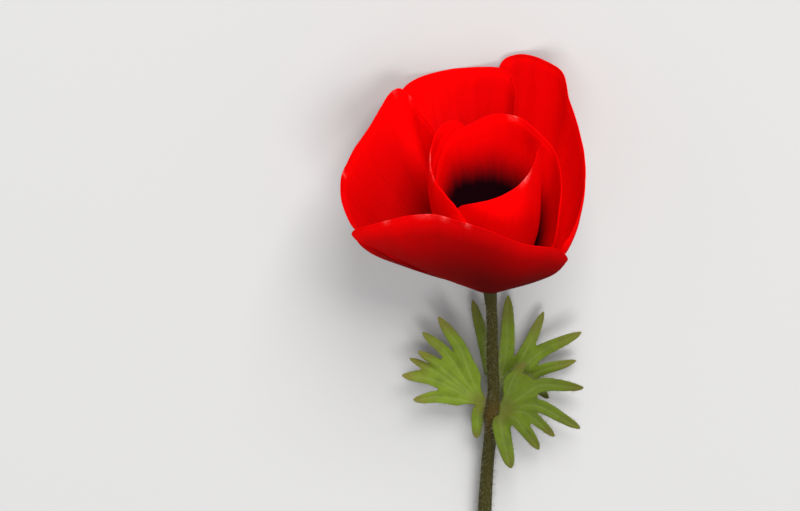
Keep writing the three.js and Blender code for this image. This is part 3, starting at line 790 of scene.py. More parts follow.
class Finish:
    """A material under construction, with its Principled shader as the surface."""

    def __init__(self, name, constants):
        self.material = bpy.data.materials.new(name)
        self.material.use_nodes = True
        self.tree = self.material.node_tree
        self.shader = self.tree.nodes["Principled BSDF"]
        self.set(constants)

    def feed(self, socket, value):
        """Links a Shade to a socket, or sets the socket to a number or colour."""
        if isinstance(value, Shade):
            self.tree.links.new(value.socket, socket)
        elif socket.type == "RGBA":
            socket.default_value = (*value, 1)
        else:
            socket.default_value = value

    def set(self, inputs):
        """Feeds the Principled shader's own sockets, by name."""
        for key, value in inputs.items():
            self.feed(self.shader.inputs[key], value)

    def node(self, kind, settings=None, sockets=None, output=None):
        """Any node: its settings first, then its sockets, by name or number."""
        node = self.tree.nodes.new(kind)
        for key, value in (settings or {}).items():
            setattr(node, key, value)
        enabled = [socket for socket in node.inputs if socket.enabled]
        names = {socket.name: socket for socket in enabled}
        for key, value in (sockets or {}).items():
            self.feed(enabled[key] if isinstance(key, int) else names[key], value)
        usual = next(socket for socket in node.outputs if socket.enabled)
        return Shade(self, node.outputs[output] if output else usual)

    def value(self, name):
        """A number that the mesh holds at each point."""
        return self.node("ShaderNodeAttribute", {"attribute_name": name}, output="Fac")

    def place(self, x, y, z=0):
        return self.node("ShaderNodeCombineXYZ", None, {"X": x, "Y": y, "Z": z})

    def noise(self, vector, scale=1, detail=2, roughness=0.5):
        sockets = {"Vector": vector, "Scale": scale, "Detail": detail, "Roughness": roughness}
        return self.node("ShaderNodeTexNoise", None, sockets)

    def grain(self, scale, detail=2, roughness=0.5):
        """Noise through the object's own space, with this many spots a metre."""
        place = self.node("ShaderNodeTexCoord", output="Object")
        return self.noise(place, scale, detail, roughness)

    def blend(self, share, first, second):
        """A mix of two colours."""
        sockets = {"Factor": share, "A": first, "B": second}
        return self.node("ShaderNodeMix", {"data_type": "RGBA"}, sockets)

    def bump(self, height, distance, strength):
        sockets = {"Height": height, "Distance": distance, "Strength": strength}
        return self.node("ShaderNodeBump", None, sockets)

    def shine_through(self, colour, share):
        """Lets light from behind through, by a Translucent shader mixed in."""
        surface = Shade(self, self.shader.outputs["BSDF"])
        thin = self.node("ShaderNodeBsdfTranslucent", None, {"Color": colour})
        both = self.node("ShaderNodeMixShader", None, {0: share, 1: surface, 2: thin})
        self.feed(self.tree.nodes["Material Output"].inputs["Surface"], both)


def tepal_finish(settings):
    """Velvety red, fine veins from the claw, near-black foot, painted shade and highlights."""
    finish = Finish("velvet red", {"Specular IOR Level": 0.012})
    names = ("along", "side", "depth", "painted_light", "pale", "seed")
    along, side, depth, painted_light, pale, seed = (finish.value(name) for name in names)
    warp = finish.noise(finish.place(side * 2.2, along * 2.4, seed), scale=1.6) - 0.5

    def spots(sideways, lengthways, bend, detail, roughness):
        """Noise with this many spots over a blade's half width and over its length."""
        place = finish.place(side * sideways + warp * bend, along * lengthways, seed)
        return finish.noise(place, detail=detail, roughness=roughness)

    veins = spots(sideways=34, lengthways=1.7, bend=5, detail=3, roughness=0.62)
    fine_veins = spots(sideways=120, lengthways=3.2, bend=16, detail=2, roughness=0.6)
    rim_spots = spots(sideways=60, lengthways=90, bend=0, detail=3, roughness=0.7)
    nap = finish.grain(4200, roughness=0.6)
    cloud = finish.grain(130)
    vein_mask = veins.step(0.47, 0.66) * 0.12 + fine_veins.step(0.5, 0.72) * 0.08
    deeper = vein_mask + cloud.step(0.45, 0.75) * 0.08
    # Near black at the foot: partly the flower's own dark base, partly painted shade deep in the
    # cup
    dark = 1 - (along + (veins - 0.5) * 0.07).step(depth - 0.3, depth)
    # Pale patches on the rims: painted highlights
    pale = pale * rim_spots.step(0.35, 0.6)
    colour = finish.blend(deeper, settings.red, settings.deep_red)
    # Painted light and shade: each face darkened towards a shadow red where it is painted less
    # light
    colour = finish.blend(1 - painted_light, colour, SHADOW_RED)
    colour = finish.blend(dark, colour, settings.foot)
    colour = finish.blend(pale * 0.8, colour, settings.rim)
    relief = veins * 0.5 + fine_veins * 0.28 + nap * 0.22
    finish.set({
        "Base Color": colour,
        "Roughness": 0.62 + nap * 0.2 - pale * 0.2,
        "Normal": finish.bump(relief, distance=0.00012, strength=0.4),
    })
    thinness = 0.15 + along.step(0.4, 0.9) * 0.3
    finish.shine_through(GLOW_RED, thinness * painted_light * (1 - dark))
    return finish.material


def dark_finish(name, colour, dust):
    """Near black, with a faint blue-violet dust."""
    finish = Finish(name, {"Specular IOR Level": 0.3, "Sheen Weight": 0.1})
    grain = finish.grain(2600, detail=3, roughness=0.6)
    dusty = grain.step(0.48, 0.7) * (finish.value("tip") * 0.6 + 0.3)
    finish.set({
        "Base Color": finish.blend(dusty, colour, dust),
        "Roughness": 0.6 + grain * 0.25,
        "Normal": finish.bump(grain, distance=0.00006, strength=0.6),
    })
    return finish.material


def stem_finish(settings):
    """Olive brown with fine streaks, red-brown where the bracts stand, pale where it is cut."""
    finish = Finish("stem skin", {"Specular IOR Level": 0.12})
    names = ("along", "side", "flush", "cut")
    along, side, flush, cut = (finish.value(name) for name in names)
    streaks = finish.noise(finish.place(side * 9, along * 0.09), detail=3, roughness=0.6)
    mottle = finish.grain(420, detail=3, roughness=0.6)
    rings = (cut * 14 + mottle * 2).sine() * 0.5 + 0.5
    pith = finish.blend(rings * 0.35, CUT_PITH, CUT_RING)
    colour = finish.blend(streaks.step(0.42, 0.7) * 0.55, settings.stem, STEM_STREAK)
    colour = finish.blend(mottle.step(0.5, 0.72) * 0.4, colour, STEM_SPOT)
    colour = finish.blend(flush * (0.55 + mottle * 0.4), colour, settings.stem_node)
    colour = finish.blend(cut.step(0.02, 0.1), colour, pith)
    relief = streaks * 0.7 + mottle * 0.3
    finish.set({
        "Base Color": colour,
        "Roughness": 0.5 + mottle * 0.25,
        "Normal": finish.bump(relief, distance=0.00008, strength=0.7),
    })
    return finish.material


def bract_finish(settings):
    """Yellow-green with paler ribs, a brown foot, red-brown tips and painted shade."""
    finish = Finish("bract green", {"Specular IOR Level": 0.12})
    tip, rib, foot, painted_light = (finish.value(name) for name in ("tip", "rib", "foot", "painted_light"))
    mottle = finish.grain(360, detail=3, roughness=0.6)
    cells = finish.grain(2200, roughness=0.6)
    tips = (tip + (mottle - 0.5) * 0.5).step(0.6, 1.1) * 0.8
    colour = finish.blend(mottle.step(0.4, 0.72) * 0.5, settings.bract, BRACT_MOTTLE)
    colour = finish.blend(rib * 0.45, colour, BRACT_RIB)
    colour = finish.blend(foot * 0.6, colour, BRACT_FOOT)
    colour = finish.blend(tips, colour, settings.bract_tip)
    # Painted shade: a bract painted less light is darkened towards a shadow green
    colour = finish.blend(1 - painted_light, colour, BRACT_SHADOW)
    relief = cells * 0.5 + mottle * 0.5
    finish.set({
        "Base Color": colour,
        "Roughness": 0.5 + cells * 0.25,
        "Normal": finish.bump(relief, distance=0.00008, strength=0.6),
    })
    finish.shine_through(BRACT_GLOW, 0.22)
    return finish.material


def hair_finish(settings):
    """Pale, silky hairs, a little uneven from one to the next."""
    finish = Finish("silky hair", {"Specular IOR Level": 0.4, "Roughness": 0.4})
    tint = finish.grain(300, detail=1)
    finish.set({"Base Color": finish.blend(tint, settings.hair, HAIR_TINT)})
    finish.shine_through(HAIR_GLOW, 0.4)
    return finish.material


def floor_finish(settings):
    """Matte and pale, with a faint grain."""
    finish = Finish("pale floor", {"Specular IOR Level": 0.2})
    grain = finish.grain(900)
    finish.set({
        "Base Color": finish.blend(grain * 0.06, settings.floor, FLOOR_GRAIN),
        "Roughness": 0.75 + grain * 0.1,
    })
    return finish.material


# Tepals


def tepal_ribs(tepal, u, v):
    """Points on a tepal's middle surface, a fan of ribs from foot to rim, and its claw's root."""
    rim_curve = Spline(tepal["rim"])
    rim = rim_curve.at((u + 1) / 2)
    claw = math.radians(tepal["azimuth"])
    turn = (np.arctan2(rim[:, 1], rim[:, 0]) - claw + math.pi) % (2 * math.pi) - math.pi
    foot_turn = math.radians(tepal["spread"]) * u
    low_turn = foot_turn + (turn - foot_turn) * LOW_TURN
    layer = across(tepal["layer"], u)
    foot_radius, foot_height = tepal["foot"]
    low_radius, low_height = tepal["low"]
    foot_out = FOOT_LAYERING * layer
    low_out = BODY_LAYERING * layer
    base = from_polar(foot_radius + foot_out, claw + foot_turn, foot_height - foot_out)
    low = from_polar(low_radius + low_out, claw + low_turn, low_height - low_out)
    high_radius = across(tepal["high"], u) * np.hypot(rim[:, 0], rim[:, 1])
    high = from_polar(high_radius, claw + turn, tepal["high_height"] * rim[:, 2])
    reach = np.sign(u) * MARGIN_REACH * np.linalg.norm(rim - base, axis=1)
    margin = rim + rim_curve.direction_at((u + 1) / 2) * reach[:, None]
    high = high + (margin - high) * (np.abs(u) ** MARGIN_SHARPNESS)[:, None]
    rib = v[:, None, None]
    blade = (
        base * (1 - rib) ** 3
        + low * 3 * rib * (1 - rib) ** 2
        + high * 3 * rib**2 * (1 - rib)
        + rim * rib**3
    )
    root_height = foot_height - foot_out - CLAW_ROOT["drop"]
    return blade, from_polar(CLAW_ROOT["radius"], claw + foot_turn, root_height)


def tepal_middle(tepal, settings):
    """A tepal's middle surface from its claw, and each point's share along and place across."""
    side = np.linspace(-1, 1, settings.columns + 1)
    along = np.linspace(0, 1, settings.rows + 1) ** ROW_CROWDING
    blade, root = tepal_ribs(tepal, side, along)
    rows = CLAW_ROOT["rows"]
    claw = root + (blade[0] - root) * np.linspace(0, 1, rows + 1)[:-1, None, None]
    along = np.concatenate([np.zeros(rows), along])[:, None]
    return np.concatenate([claw, blade]), *np.broadcast_arrays(along, side)


def from_edge(grid):
    """How far each point of a blade is from its rim or margins, over the blade."""
    steps_along = np.linalg.norm(np.diff(grid, axis=0, prepend=grid[:1]), axis=2)
    steps_across = np.linalg.norm(np.diff(grid, axis=1, prepend=grid[:, :1]), axis=2)
    lengths = np.cumsum(steps_along, axis=0)
    widths = np.cumsum(steps_across, axis=1)
    return np.minimum(lengths[-1] - lengths, np.minimum(widths, widths[:, -1:] - widths))


def tepal_relief(tepal, random, along, side):
    """How far a blade rises out of its plain form by pleats, swells and the swell of its own."""
    relief = 0
    for waves in (PLEATS, SWELLS):
        places = [side * waves["across"], along * waves["along"]]
        relief = relief + wave_sum(random, places, waves["lengths"]) * waves["height"]
    relief = relief * smooth_step(along, PLEATS_FROM, 1)
    swell = tepal.get("swell")
    if swell:
        sideways = hump(side, swell["side"], swell["width"])
        lengthways = hump(along, swell["along"], swell["length"])
        relief = relief + swell["height"] * sideways * lengthways
    return relief


def hump_sum(places, side):
    """Humps between the margins, each of a place, a half width and a height."""
    return sum((height * hump(side, place, half) for place, half, height in places), 0 * side)


def painted_face_light(shade, along, side):
    """How light one face of a tepal is painted, from 0 to 1: painted light and shade."""
    painted_levels, lean, painted_stretches = shade
    return np.interp(along, PAINTED_LIGHT_AT, painted_levels) * (1 + lean * side) * (1 - hump_sum(painted_stretches, side))


def tepal_values(name, number, along, side):
    """What the shader reads at each point of a tepal's outside and then of its inside."""
    shade = SHADES[name]
    # Painted shade on the last of the blade at the rim
    rim_shade = shade.get("rim_shade", USUAL_RIM_SHADE) * smooth_step(along, RIM_SHADE_FROM, 1)
    painted_levels = [painted_face_light(shade[face], along, side) for face in ("outside", "inside")]
    # Near-black foot: the flower's dark base and painted shade deep in the cup
    depth = np.interp(side, DEPTH_AT, shade["depth"])
    # Painted highlights on the rim
    pale = hump_sum(shade["patches"], side) * smooth_step(along, PATCHES_FROM, 1)
    return {
        "along": [along, along],
        "side": [side, side],
        "painted_light": np.clip(painted_levels * (1 - rim_shade), 0, 1),
        "pale": np.clip([pale, pale], 0, 1),
        "depth": [np.full(depth.shape, OUTSIDE_DEPTH), depth],
        "seed": np.full((2, *side.shape), number * SEED_STEP),
    }


def add_tepal(name, number, settings, finish):
    """One tepal: a thin blade with its solid's outer face, softly pleated, thinner at its edge."""
    random = np.random.default_rng(SEEDS["tepals"] + number)
    middle, along, side = tepal_middle(TEPALS[name], settings)
    relief = tepal_relief(TEPALS[name], random, along, side)
    fullness = smooth_step(from_edge(middle), 0, THIN_EDGE["width"])
    share = THIN_EDGE["share"] + (1 - THIN_EDGE["share"]) * fullness
    thickness = settings.thickness / MM * share
    normals = surface_normals(middle)
    outer = middle + normals * (SOLID_BLADE / 2 - PLEAT_ROOM + relief)[..., None]
    inner = outer - normals * thickness[..., None]
    points = flower_to_frame(np.stack([outer, inner]))
    points[..., 2] += np.maximum(FLOOR_GAP - points[..., 2].min(axis=0), 0)
    points = np.clip(points, *BOX)
    values = tepal_values(name, number, along, side)
    add_piece(f"tepal_{name}", points, blade_faces(*side.shape), finish, name, values)


# Stamens and carpels


def stamen_route(random, number, count):
    """The middle of a stamen's filament, and its azimuth."""
    share = (number + 0.5) / count
    spin, out, up, bend_spin, neck_spin = random.normal(size=5) * STAMEN_SCATTER
    azimuth = number * GOLDEN_ANGLE + spin
    bend_radius, bend_height = STAMEN_BEND[0] + (STAMEN_BEND[1] - STAMEN_BEND[0]) * share
    radius, height = STAMEN_TOP[0] + (STAMEN_TOP[1] - STAMEN_TOP[0]) * share + (out, up)
    route = Spline([
        from_polar(STAMEN_FOOT[0], azimuth, STAMEN_FOOT[1]),
        from_polar(bend_radius, azimuth + bend_spin, bend_height),
        from_polar(radius - STAMEN_NECK[0], azimuth + neck_spin, height - STAMEN_NECK[1]),
        from_polar(radius, azimuth, height),
    ])
    return route, azimuth


def filament_rings(route):
    """Rings of a filament, which tapers to its anther."""
    share = np.linspace(0, 1, FILAMENT["rings"])
    radii = FILAMENT["foot_radius"] - FILAMENT["taper"] * share
    centres, directions = route.at(share), route.direction_at(share)
    return tube_points(centres, directions, radii[:, None], FILAMENT["sides"], ASLANT)


def anther_rings(random, route, azimuth):
    """Rings of a blunt, grooved anther at the end of its filament."""
    lean = unit(route.direction_at(1) + random.normal(size=3) * ANTHER["tilt"])
    heights = np.linspace(ANTHER["low"], ANTHER["high"], ANTHER["rings"])[:, None]
    roundness = 1 - np.linspace(-1, 1, ANTHER["rings"]) ** 2
    bulge = np.sqrt(np.maximum(ANTHER["blunt"], roundness))[:, None]
    lobed = 1 + ANTHER["lobing"] * np.cos(2 * turns(ANTHER["sides"]) + azimuth)
    radii = bulge * ANTHER["radius"] * lobed
    return tube_points(route.at(1) + lean * heights, lean, radii, ANTHER["sides"], ASLANT)


def add_stamens(settings, finish):
    """A ring of stamens on their collar."""
    random = np.random.default_rng(SEEDS["stamens"])
    ring = Gathered()
    ring.add_tube(from_polar(STAMEN_COLLAR[:, :1], turns(COLLAR_SIDES), STAMEN_COLLAR[:, 1:]))
    for number in range(settings.stamens):
        route, azimuth = stamen_route(random, number, settings.stamens)
        ring.add_tube(filament_rings(route), FILAMENT["tip"])
        ring.add_tube(anther_rings(random, route, azimuth), ANTHER["tip"])
    points = flower_to_frame(np.array(ring.points))
    values = {"tip": ring.values}
    add_piece("ring_of_stamens", points, ring.faces, finish, "stamens", values)


def style_rings(random, outline, share, azimuth):
    """Rings of a small hooked style that stands out from the dome."""
    place = STYLES["first"] + (1 - STYLES["first"]) * share
    spot = outline.at(place)[0]
    slope = outline.direction_at(place)[0]
    base = from_polar(spot[0] - STYLES["inset"], azimuth, spot[2])
    tilt = random.normal(size=3) * STYLES["tilt"]
    out = unit(from_polar(slope[2], azimuth, -slope[0]) + tilt)[None]
    size = STYLES["foot_size"] + (STYLES["top_size"] - STYLES["foot_size"]) * place
    levels, widths, rises, _ = STYLE_RINGS.T[..., None]
    centres = base + out * levels + rises * [0, 0, 1]
    return tube_points(centres, out, size * widths, STYLES["sides"], ASLANT)


def add_carpels(settings, finish):
    """The dome of carpels: a smooth core with a style on every carpel."""
    random = np.random.default_rng(SEEDS["carpels"])
    dome = Gathered()
    outline = Spline([(radius, 0, height) for radius, height in CARPEL_HEAD])
    core = outline.at(np.linspace(0, 1, CORE["rings"]))
    dome.add_tube(from_polar(core[:, :1] - CORE["inset"], turns(CORE["sides"]), core[:, 2:]))
    tips = np.repeat(STYLE_RINGS[:, 3], STYLES["sides"])
    for number in range(settings.styles):
        share = (number + 0.5) / settings.styles
        dome.add_tube(style_rings(random, outline, share, number * GOLDEN_ANGLE), tips)
    points = flower_to_frame(np.array(dome.points))
    values = {"tip": dome.values}
    add_piece("dome_of_carpels", points, dome.faces, finish, "carpels", values)


# Hairs


def add_hairs(name, kind, count, surface, random, settings, finish):
    """Fine hairs that taper to a point and droop a little, where the box and the floor have room.

    The surface is its points, their normals and how likely each one is to bear a hair.
    """
    points, normals, weights = surface
    chosen = random.choice(len(weights), size=count, p=weights / weights.sum())
    spots, out = (each.reshape(-1, 3)[chosen] for each in (points, normals))
    if kind["scatter"]:
        spots = spots + random.normal(size=spots.shape) * kind["scatter"]
    lengths = random.uniform(*kind["lengths"], count)[:, None]
    aims = unit(out + random.normal(size=out.shape) * kind["spread"])
    droops = random.normal(size=out.shape) * kind["droop"]
    roots = spots - out * kind["sink"]
    tips = roots + aims * lengths + droops
    radius = settings.hair_radius / MM
    room = ((tips > BOX[0] + radius) & (tips < BOX[1] - radius)).all(axis=1)
    room &= np.minimum(roots[:, 2], tips[:, 2]) > HAIR_CLEARANCE
    roots, aims, lengths, droops, tips = (
        rows[room] for rows in (roots, aims, lengths, droops, tips)
    )
    helper = np.where(np.abs(aims[:, 2:]) < 0.9, [0, 0, 1], [1, 0, 0])
    side = unit(np.cross(aims, helper))
    circle = circles(side, unit(np.cross(aims, side)), HAIR_SIDES) * radius
    rings = [
        (roots + aims * lengths * level + droops * level**2)[:, None] + circle * width
        for level, width in HAIR_RINGS
    ]
    hairs = np.concatenate([*rings, tips[:, None]], axis=1)
    one = tube_faces(len(HAIR_RINGS), HAIR_SIDES, closed_ends=False) + HAIR_CAPS
    starts = range(0, len(roots) * hairs.shape[1], hairs.shape[1])
    faces = [tuple(corner + start for corner in face) for start in starts for face in one]
    add_piece(name, hairs, faces, finish)


# Stem


def stem_stations():
    """Centres, directions and radii of the stem from inside the flower, and how far along."""
    axis = np.array([0, math.cos(AXIS_LIFT), math.sin(AXIS_LIFT)])
    heights, top_radii = np.array(RECEPTACLE).T
    route = Spline(STEM_ROUTE)
    even = np.linspace(0, 1, STEM_RINGS)
    share = even[1:]
    gone = share * route.length
    past = gone > RECEPTACLE_REACH
    plain = PEDICEL_RADIUS + (STEM_RADIUS - PEDICEL_RADIUS) * np.minimum(1, share / STEM_FULL_AT)
    swelling = hump(gone, STEM_NODE["at"], STEM_NODE["length"])
    radii = plain + (STEM_NODE["radius"] - plain) * swelling
    known = np.concatenate([heights[:, None] * axis, route.at(share[past])])
    known_radii = np.concatenate([top_radii, radii[past]])
    known_along = distances_along(known)
    curve = Spline(known)
    along = even * known_along[-1]
    radii = np.interp(along, known_along, known_radii)
    return curve.at(even), curve.direction_at(even), radii, along


def add_stem(settings, finish, hair):
    """The ribbed stem with its cut end, and its spreading hairs."""
    random = np.random.default_rng(SEEDS["stem"])
    centres, directions, radii, along = stem_stations()
    turn = turns(STEM_SIDES)
    down = along[:, None]
    ribs = np.cos(turn * STEM_RIBS["count"] + down * STEM_RIBS["twist"]) * STEM_RIBS["height"]
    width = STEM_WAVES["across"]
    places = np.broadcast_arrays(down, np.cos(turn) * width, np.sin(turn) * width)
    uneven = wave_sum(random, places, STEM_WAVES["lengths"]) * STEM_WAVES["height"]
    shaped = radii[:, None] - STEM_ROOM + ribs + uneven
    rings = tube_points(centres, directions, shaped, STEM_SIDES)
    shares, dish = np.array(CUT_END).T[..., None, None]
    end = centres[-1] + (rings[-1] - centres[-1]) * shares - directions[-1] * dish
    grid = np.concatenate([rings, end])
    at_end = np.zeros(len(end))
    ring_values = {
        "along": np.concatenate([along, at_end + along[-1]]),
        "flush": np.concatenate([hump(along, STEM_FLUSH["at"], STEM_FLUSH["length"]), at_end]),
        "cut": np.concatenate([np.zeros(len(along)), 1 - shares.ravel() * CUT_FALL]),
    }
    values = {key: np.repeat(numbers, STEM_SIDES) for key, numbers in ring_values.items()}
    values["side"] = np.tile(np.cos(turn), len(grid))
    faces = tube_faces(len(grid), STEM_SIDES)
    add_piece("hairy_stem", grid + FLOWER_AT, faces, finish, "stem", values)
    hairy = (along > HAIRLESS["top"]) & (along < along[-1] - HAIRLESS["cut"])
    surface = (rings + FLOWER_AT, unit(rings - centres[:, None]), np.repeat(hairy, STEM_SIDES))
    add_hairs("stem_hairs", STEM_HAIRS, settings.stem_hairs, surface, random, settings, hair)


# Bracts


def bract_foot(bract):
    """The middle of a bract's foot."""
    return np.mean(np.array(bract["foot"]), axis=0)


def lobe_curve(bract, lobe):
    """The middle of a lobe, from inside the body to its tip."""
    part, tip, _ = lobe
    foot = bract_foot(bract)
    return Spline([foot + (np.array(part) - foot) * LOBE_ROOT, part, tip])


def body_grid(bract):
    """Points of the undivided body, from the stem to its outer edge, with rounded corners."""
    share = np.linspace(0, 1, BODY_GRID["columns"])
    first, last = np.array(bract["foot"])
    start = first + (last - first) * share[:, None]
    start = start - start * FLAT * FOOT_SINK
    level = np.linspace(0, 1, BODY_GRID["rows"])[:, None, None]
    corner = np.clip((np.abs(2 * share - 1) - CORNER["from"]) / (1 - CORNER["from"]), 0, 1)
    drawn = 1 - CORNER["draw"] * (1 - np.sqrt(1 - corner**2))
    reach = (Spline(bract["edge"]).at(share) - start) * drawn[:, None]
    middle = reach.mean(axis=0)
    return start + middle * level + (reach - middle) * level**MARGIN_CURVE


def flat_lobe(bract, lobe):
    """A lobe laid flat: a strip with a round root that narrows to its tip."""
    share = np.linspace(0, 1, LOBE_GRID["rings"])
    curve = Spline(lobe_curve(bract, lobe).points * FLAT)
    past = np.clip((share - LOBE_TAPER["from"]) / (1 - LOBE_TAPER["from"]), 0, 1)
    before = np.clip(1 - share / LOBE_ROUNDING, 0, 1)
    taper = (1 - past ** LOBE_TAPER["fullness"]) ** LOBE_TAPER["bluntness"]
    rounding = np.maximum(LOBE_TAPER["least"], taper * np.sqrt(1 - before**2))
    swell = LOBE_WAIST["swell"] * np.sin(share * math.pi * LOBE_WAIST["waves"]) ** 2
    waist = 1 + swell + LOBE_WAIST["root_gain"] * (1 - share) ** 2
    half = lobe[2] / 2 * waist * rounding
    depth = BRACT_BLADE / 2 * (LOBE_DEPTH["root"] - LOBE_DEPTH["fall"] * share) * np.sqrt(rounding)
    turn = turns(LOBE_GRID["sides"])
    height = np.sign(np.sin(turn)) * np.abs(np.sin(turn)) ** LOBE_DEPTH["squareness"]
    direction = curve.direction_at(share)
    side = np.stack([-direction[:, 1], direction[:, 0], 0 * share], axis=1)
    outward = side[:, None] * np.cos(turn)[:, None] * half[:, None, None]
    upward = np.array([0, 0, 1]) * height[:, None] * depth[:, None, None]
    return curve.at(share)[:, None] + outward + upward


def flat_bract(bract):
    """A bract's body and lobes as closed blades that overlap in one plane."""
    blades = Gathered()
    grid = body_grid(bract) * FLAT
    half = np.array([0, 0, BRACT_BLADE / 2])
    blades.add(np.stack([grid - half, grid + half]), blade_faces(*grid.shape[:2]))
    for lobe in bract["lobes"]:
        blades.add_tube(flat_lobe(bract, lobe))
    return blades


def melted(blades, voxel):
    """The blades melted together on a fine grid and smoothed: points, normals and faces."""
    holder = new_object("melt", new_mesh("melt", blades.points, blades.faces))
    remesh = holder.modifiers.new("melt", "REMESH")
    remesh.mode = "VOXEL"
    remesh.voxel_size = voxel
    smooth = holder.modifiers.new("smooth", "SMOOTH")
    smooth.factor = MELT_SMOOTHING["factor"]
    smooth.iterations = MELT_SMOOTHING["iterations"]
    made = holder.evaluated_get(bpy.context.evaluated_depsgraph_get()).to_mesh()
    points, normals = np.empty((2, len(made.vertices) * 3))
    made.vertices.foreach_get("co", points)
    made.vertices.foreach_get("normal", normals)
    faces = [tuple(polygon.vertices) for polygon in made.polygons]
    holder.to_mesh_clear()
    bpy.data.objects.remove(holder)
    return points.reshape(-1, 3) / MM, normals.reshape(-1, 3), faces


def raised(points, bract):
    """Heights of a flat bract's points, blended from its body and its lobes' middles."""
    body = body_grid(bract)[::2, ::3].reshape(-1, 3)
    lobes = [lobe_curve(bract, lobe).at(RAISE_SHARES) for lobe in bract["lobes"]]
    known = np.concatenate([body, *lobes])
    weights = np.ones(len(known))
    weights[:len(body)] = RAISE["body_weight"]
    gaps = np.linalg.norm(points[:, None, :2] - known[:, :2], axis=2)
    far = RAISE["far_pull"] / (RAISE["least_gap"] + gaps) ** 2
    pull = weights * hump(gaps, 0, RAISE["reach"]) + far
    return (pull * known[:, 2]).sum(axis=1) / pull.sum(axis=1)


def nearest_ribs(points, bract):
    """How far each point is from the nearest rib, laid flat, and how far along the rib that is."""
    nearest = np.full(len(points), np.inf)
    along = np.zeros(len(points))
    for lobe in bract["lobes"]:
        route = [bract_foot(bract), *lobe_curve(bract, lobe).points]
        rib = Spline(route * FLAT).at(RIB_SHARES)
        gaps = np.linalg.norm(points[:, None] * FLAT - rib, axis=2)
        nearer = gaps.min(axis=1) < nearest
        along[nearer] = RIB_SHARES[gaps.argmin(axis=1)[nearer]]
        nearest = np.minimum(nearest, gaps.min(axis=1))
    return nearest, along


def add_bract(name, number, settings, finish, hair):
    """One bract: its body and lobes melted together, grooved along its ribs, and its hairs."""
    bract = BRACTS[name]
    random = np.random.default_rng(SEEDS["bracts"] + number)
    points, normals, faces = melted(flat_bract(bract), settings.bract_voxel)
    gap, along = nearest_ribs(points, bract)
    rib = hump(gap, 0, RIB["width"])
    cushion = (1 - hump(gap, 0, CUSHION["width"])) * CUSHION["height"]
    top = smooth_step(normals[:, 2], *FACING) * RIB["top_groove"]
    under = smooth_step(-normals[:, 2], *FACING) * RIB["under_groove"]
    waves = wave_sum(random, (points * FLAT).T, BRACT_WAVES["lengths"]) * BRACT_WAVES["height"]
    outward = np.linalg.norm((points - bract_foot(bract))[:, :2], axis=1)
    relief = (cushion - rib * (top + under) + waves) * smooth_step(outward, *BRACT_FREE)
    points[:, 2] += raised(points, bract) + relief
    points = points + WHORL_AT + FLOWER_AT
    values = {
        "tip": along,
        "rib": rib,
        "foot": 1 - smooth_step(outward, *FOOT_STAIN),
        # How light the bract is painted: painted shade
        "painted_light": np.full(len(points), bract["painted_light"]),
    }
    add_piece(f"leafy_{name}", points, faces, finish, name, values)
    at_edge = smooth_step(1 - np.abs(normals[:, 2]), EDGE_HAIRS["from"], EDGE_HAIRS["to"])
    surface = (points, normals, at_edge * EDGE_HAIRS["more"] + EDGE_HAIRS["least"])
    add_hairs(f"{name}_hairs", BRACT_HAIRS, settings.bract_hairs, surface, random, settings, hair)


# Stage


def add_floor(settings):
    """A wide plain floor under the flower."""
    corners = [(-1, -1, 0), (1, -1, 0), (1, 1, 0), (-1, 1, 0)]
    mesh = new_mesh("floor", np.array(corners) * FLOOR_HALF / MM, [(0, 1, 2, 3)])
    mesh.materials.append(floor_finish(settings))
    floor = new_object("floor", mesh)


def add_light(name, kind, power):
    """A square soft light that faces the flower."""
    lamp = bpy.data.lights.new(name, "AREA")
    lamp.energy = power
    lamp.size = kind["size"]
    light = new_object(name, lamp)
    light.location = kind["place"]
    light.rotation_mode = "QUATERNION"
    aim = Vector(LIGHTS_AIM) - light.location
    light.rotation_quaternion = aim.to_track_quat("-Z", "Y")


def add_sky(settings):
    """Even light from all round."""
    world = bpy.data.worlds.new("surroundings")
    world.use_nodes = True
    background = world.node_tree.nodes["Background"]
    background.inputs["Color"].default_value = SKY_COLOUR
    background.inputs["Strength"].default_value = settings.sky
    bpy.context.scene.world = world


def add_camera(settings):
    """The photograph's view: down on the flower, leaning towards its open side."""
    back = Vector((0, math.sin(VIEW_TILT), math.cos(VIEW_TILT)))
    up = Vector((0, math.cos(VIEW_TILT), -math.sin(VIEW_TILT)))
    right = Vector((1, 0, 0))
    width, height = IMAGE_SIZE
    off_right = (width / 2 - BASE_PIXEL[0]) * PIXEL * MM
    off_up = (BASE_PIXEL[1] - height / 2) * PIXEL * MM
    aim = Vector(FLOWER_AT * MM) + right * off_right + up * off_up
    lens = bpy.data.cameras.new("camera")
    lens.sensor_width = SENSOR_WIDTH
    lens.lens = SENSOR_WIDTH * settings.camera_distance / (width * PIXEL * MM)
    camera = new_object("camera", lens)
    turn = Matrix((right, up, back)).transposed().to_4x4()
    camera.matrix_world = Matrix.Translation(aim + back * settings.camera_distance) @ turn
    bpy.context.scene.camera = camera


# Operators


class ANEMONE_OT_tepals(bpy.types.Operator):
    """Build the four outer and three inner tepals"""

    bl_idname = "anemone.tepals"
    bl_label = "Tepals"

    def execute(self, context):
        settings = context.scene.anemone_tepals
        finish = tepal_finish(settings)
        for number, name in enumerate(TEPALS):
            add_tepal(name, number, settings, finish)
        return {"FINISHED"}


class ANEMONE_OT_heart(bpy.types.Operator):
    """Build the ring of stamens and the dome of carpels"""

    bl_idname = "anemone.heart"
    bl_label = "Stamens and carpels"

    def execute(self, context):
        settings = context.scene.anemone_heart
        add_stamens(settings, dark_finish("stamen black", settings.anther, ANTHER_DUST))
        add_carpels(settings, dark_finish("carpel black", settings.carpel, CARPEL_DUST))
        return {"FINISHED"}


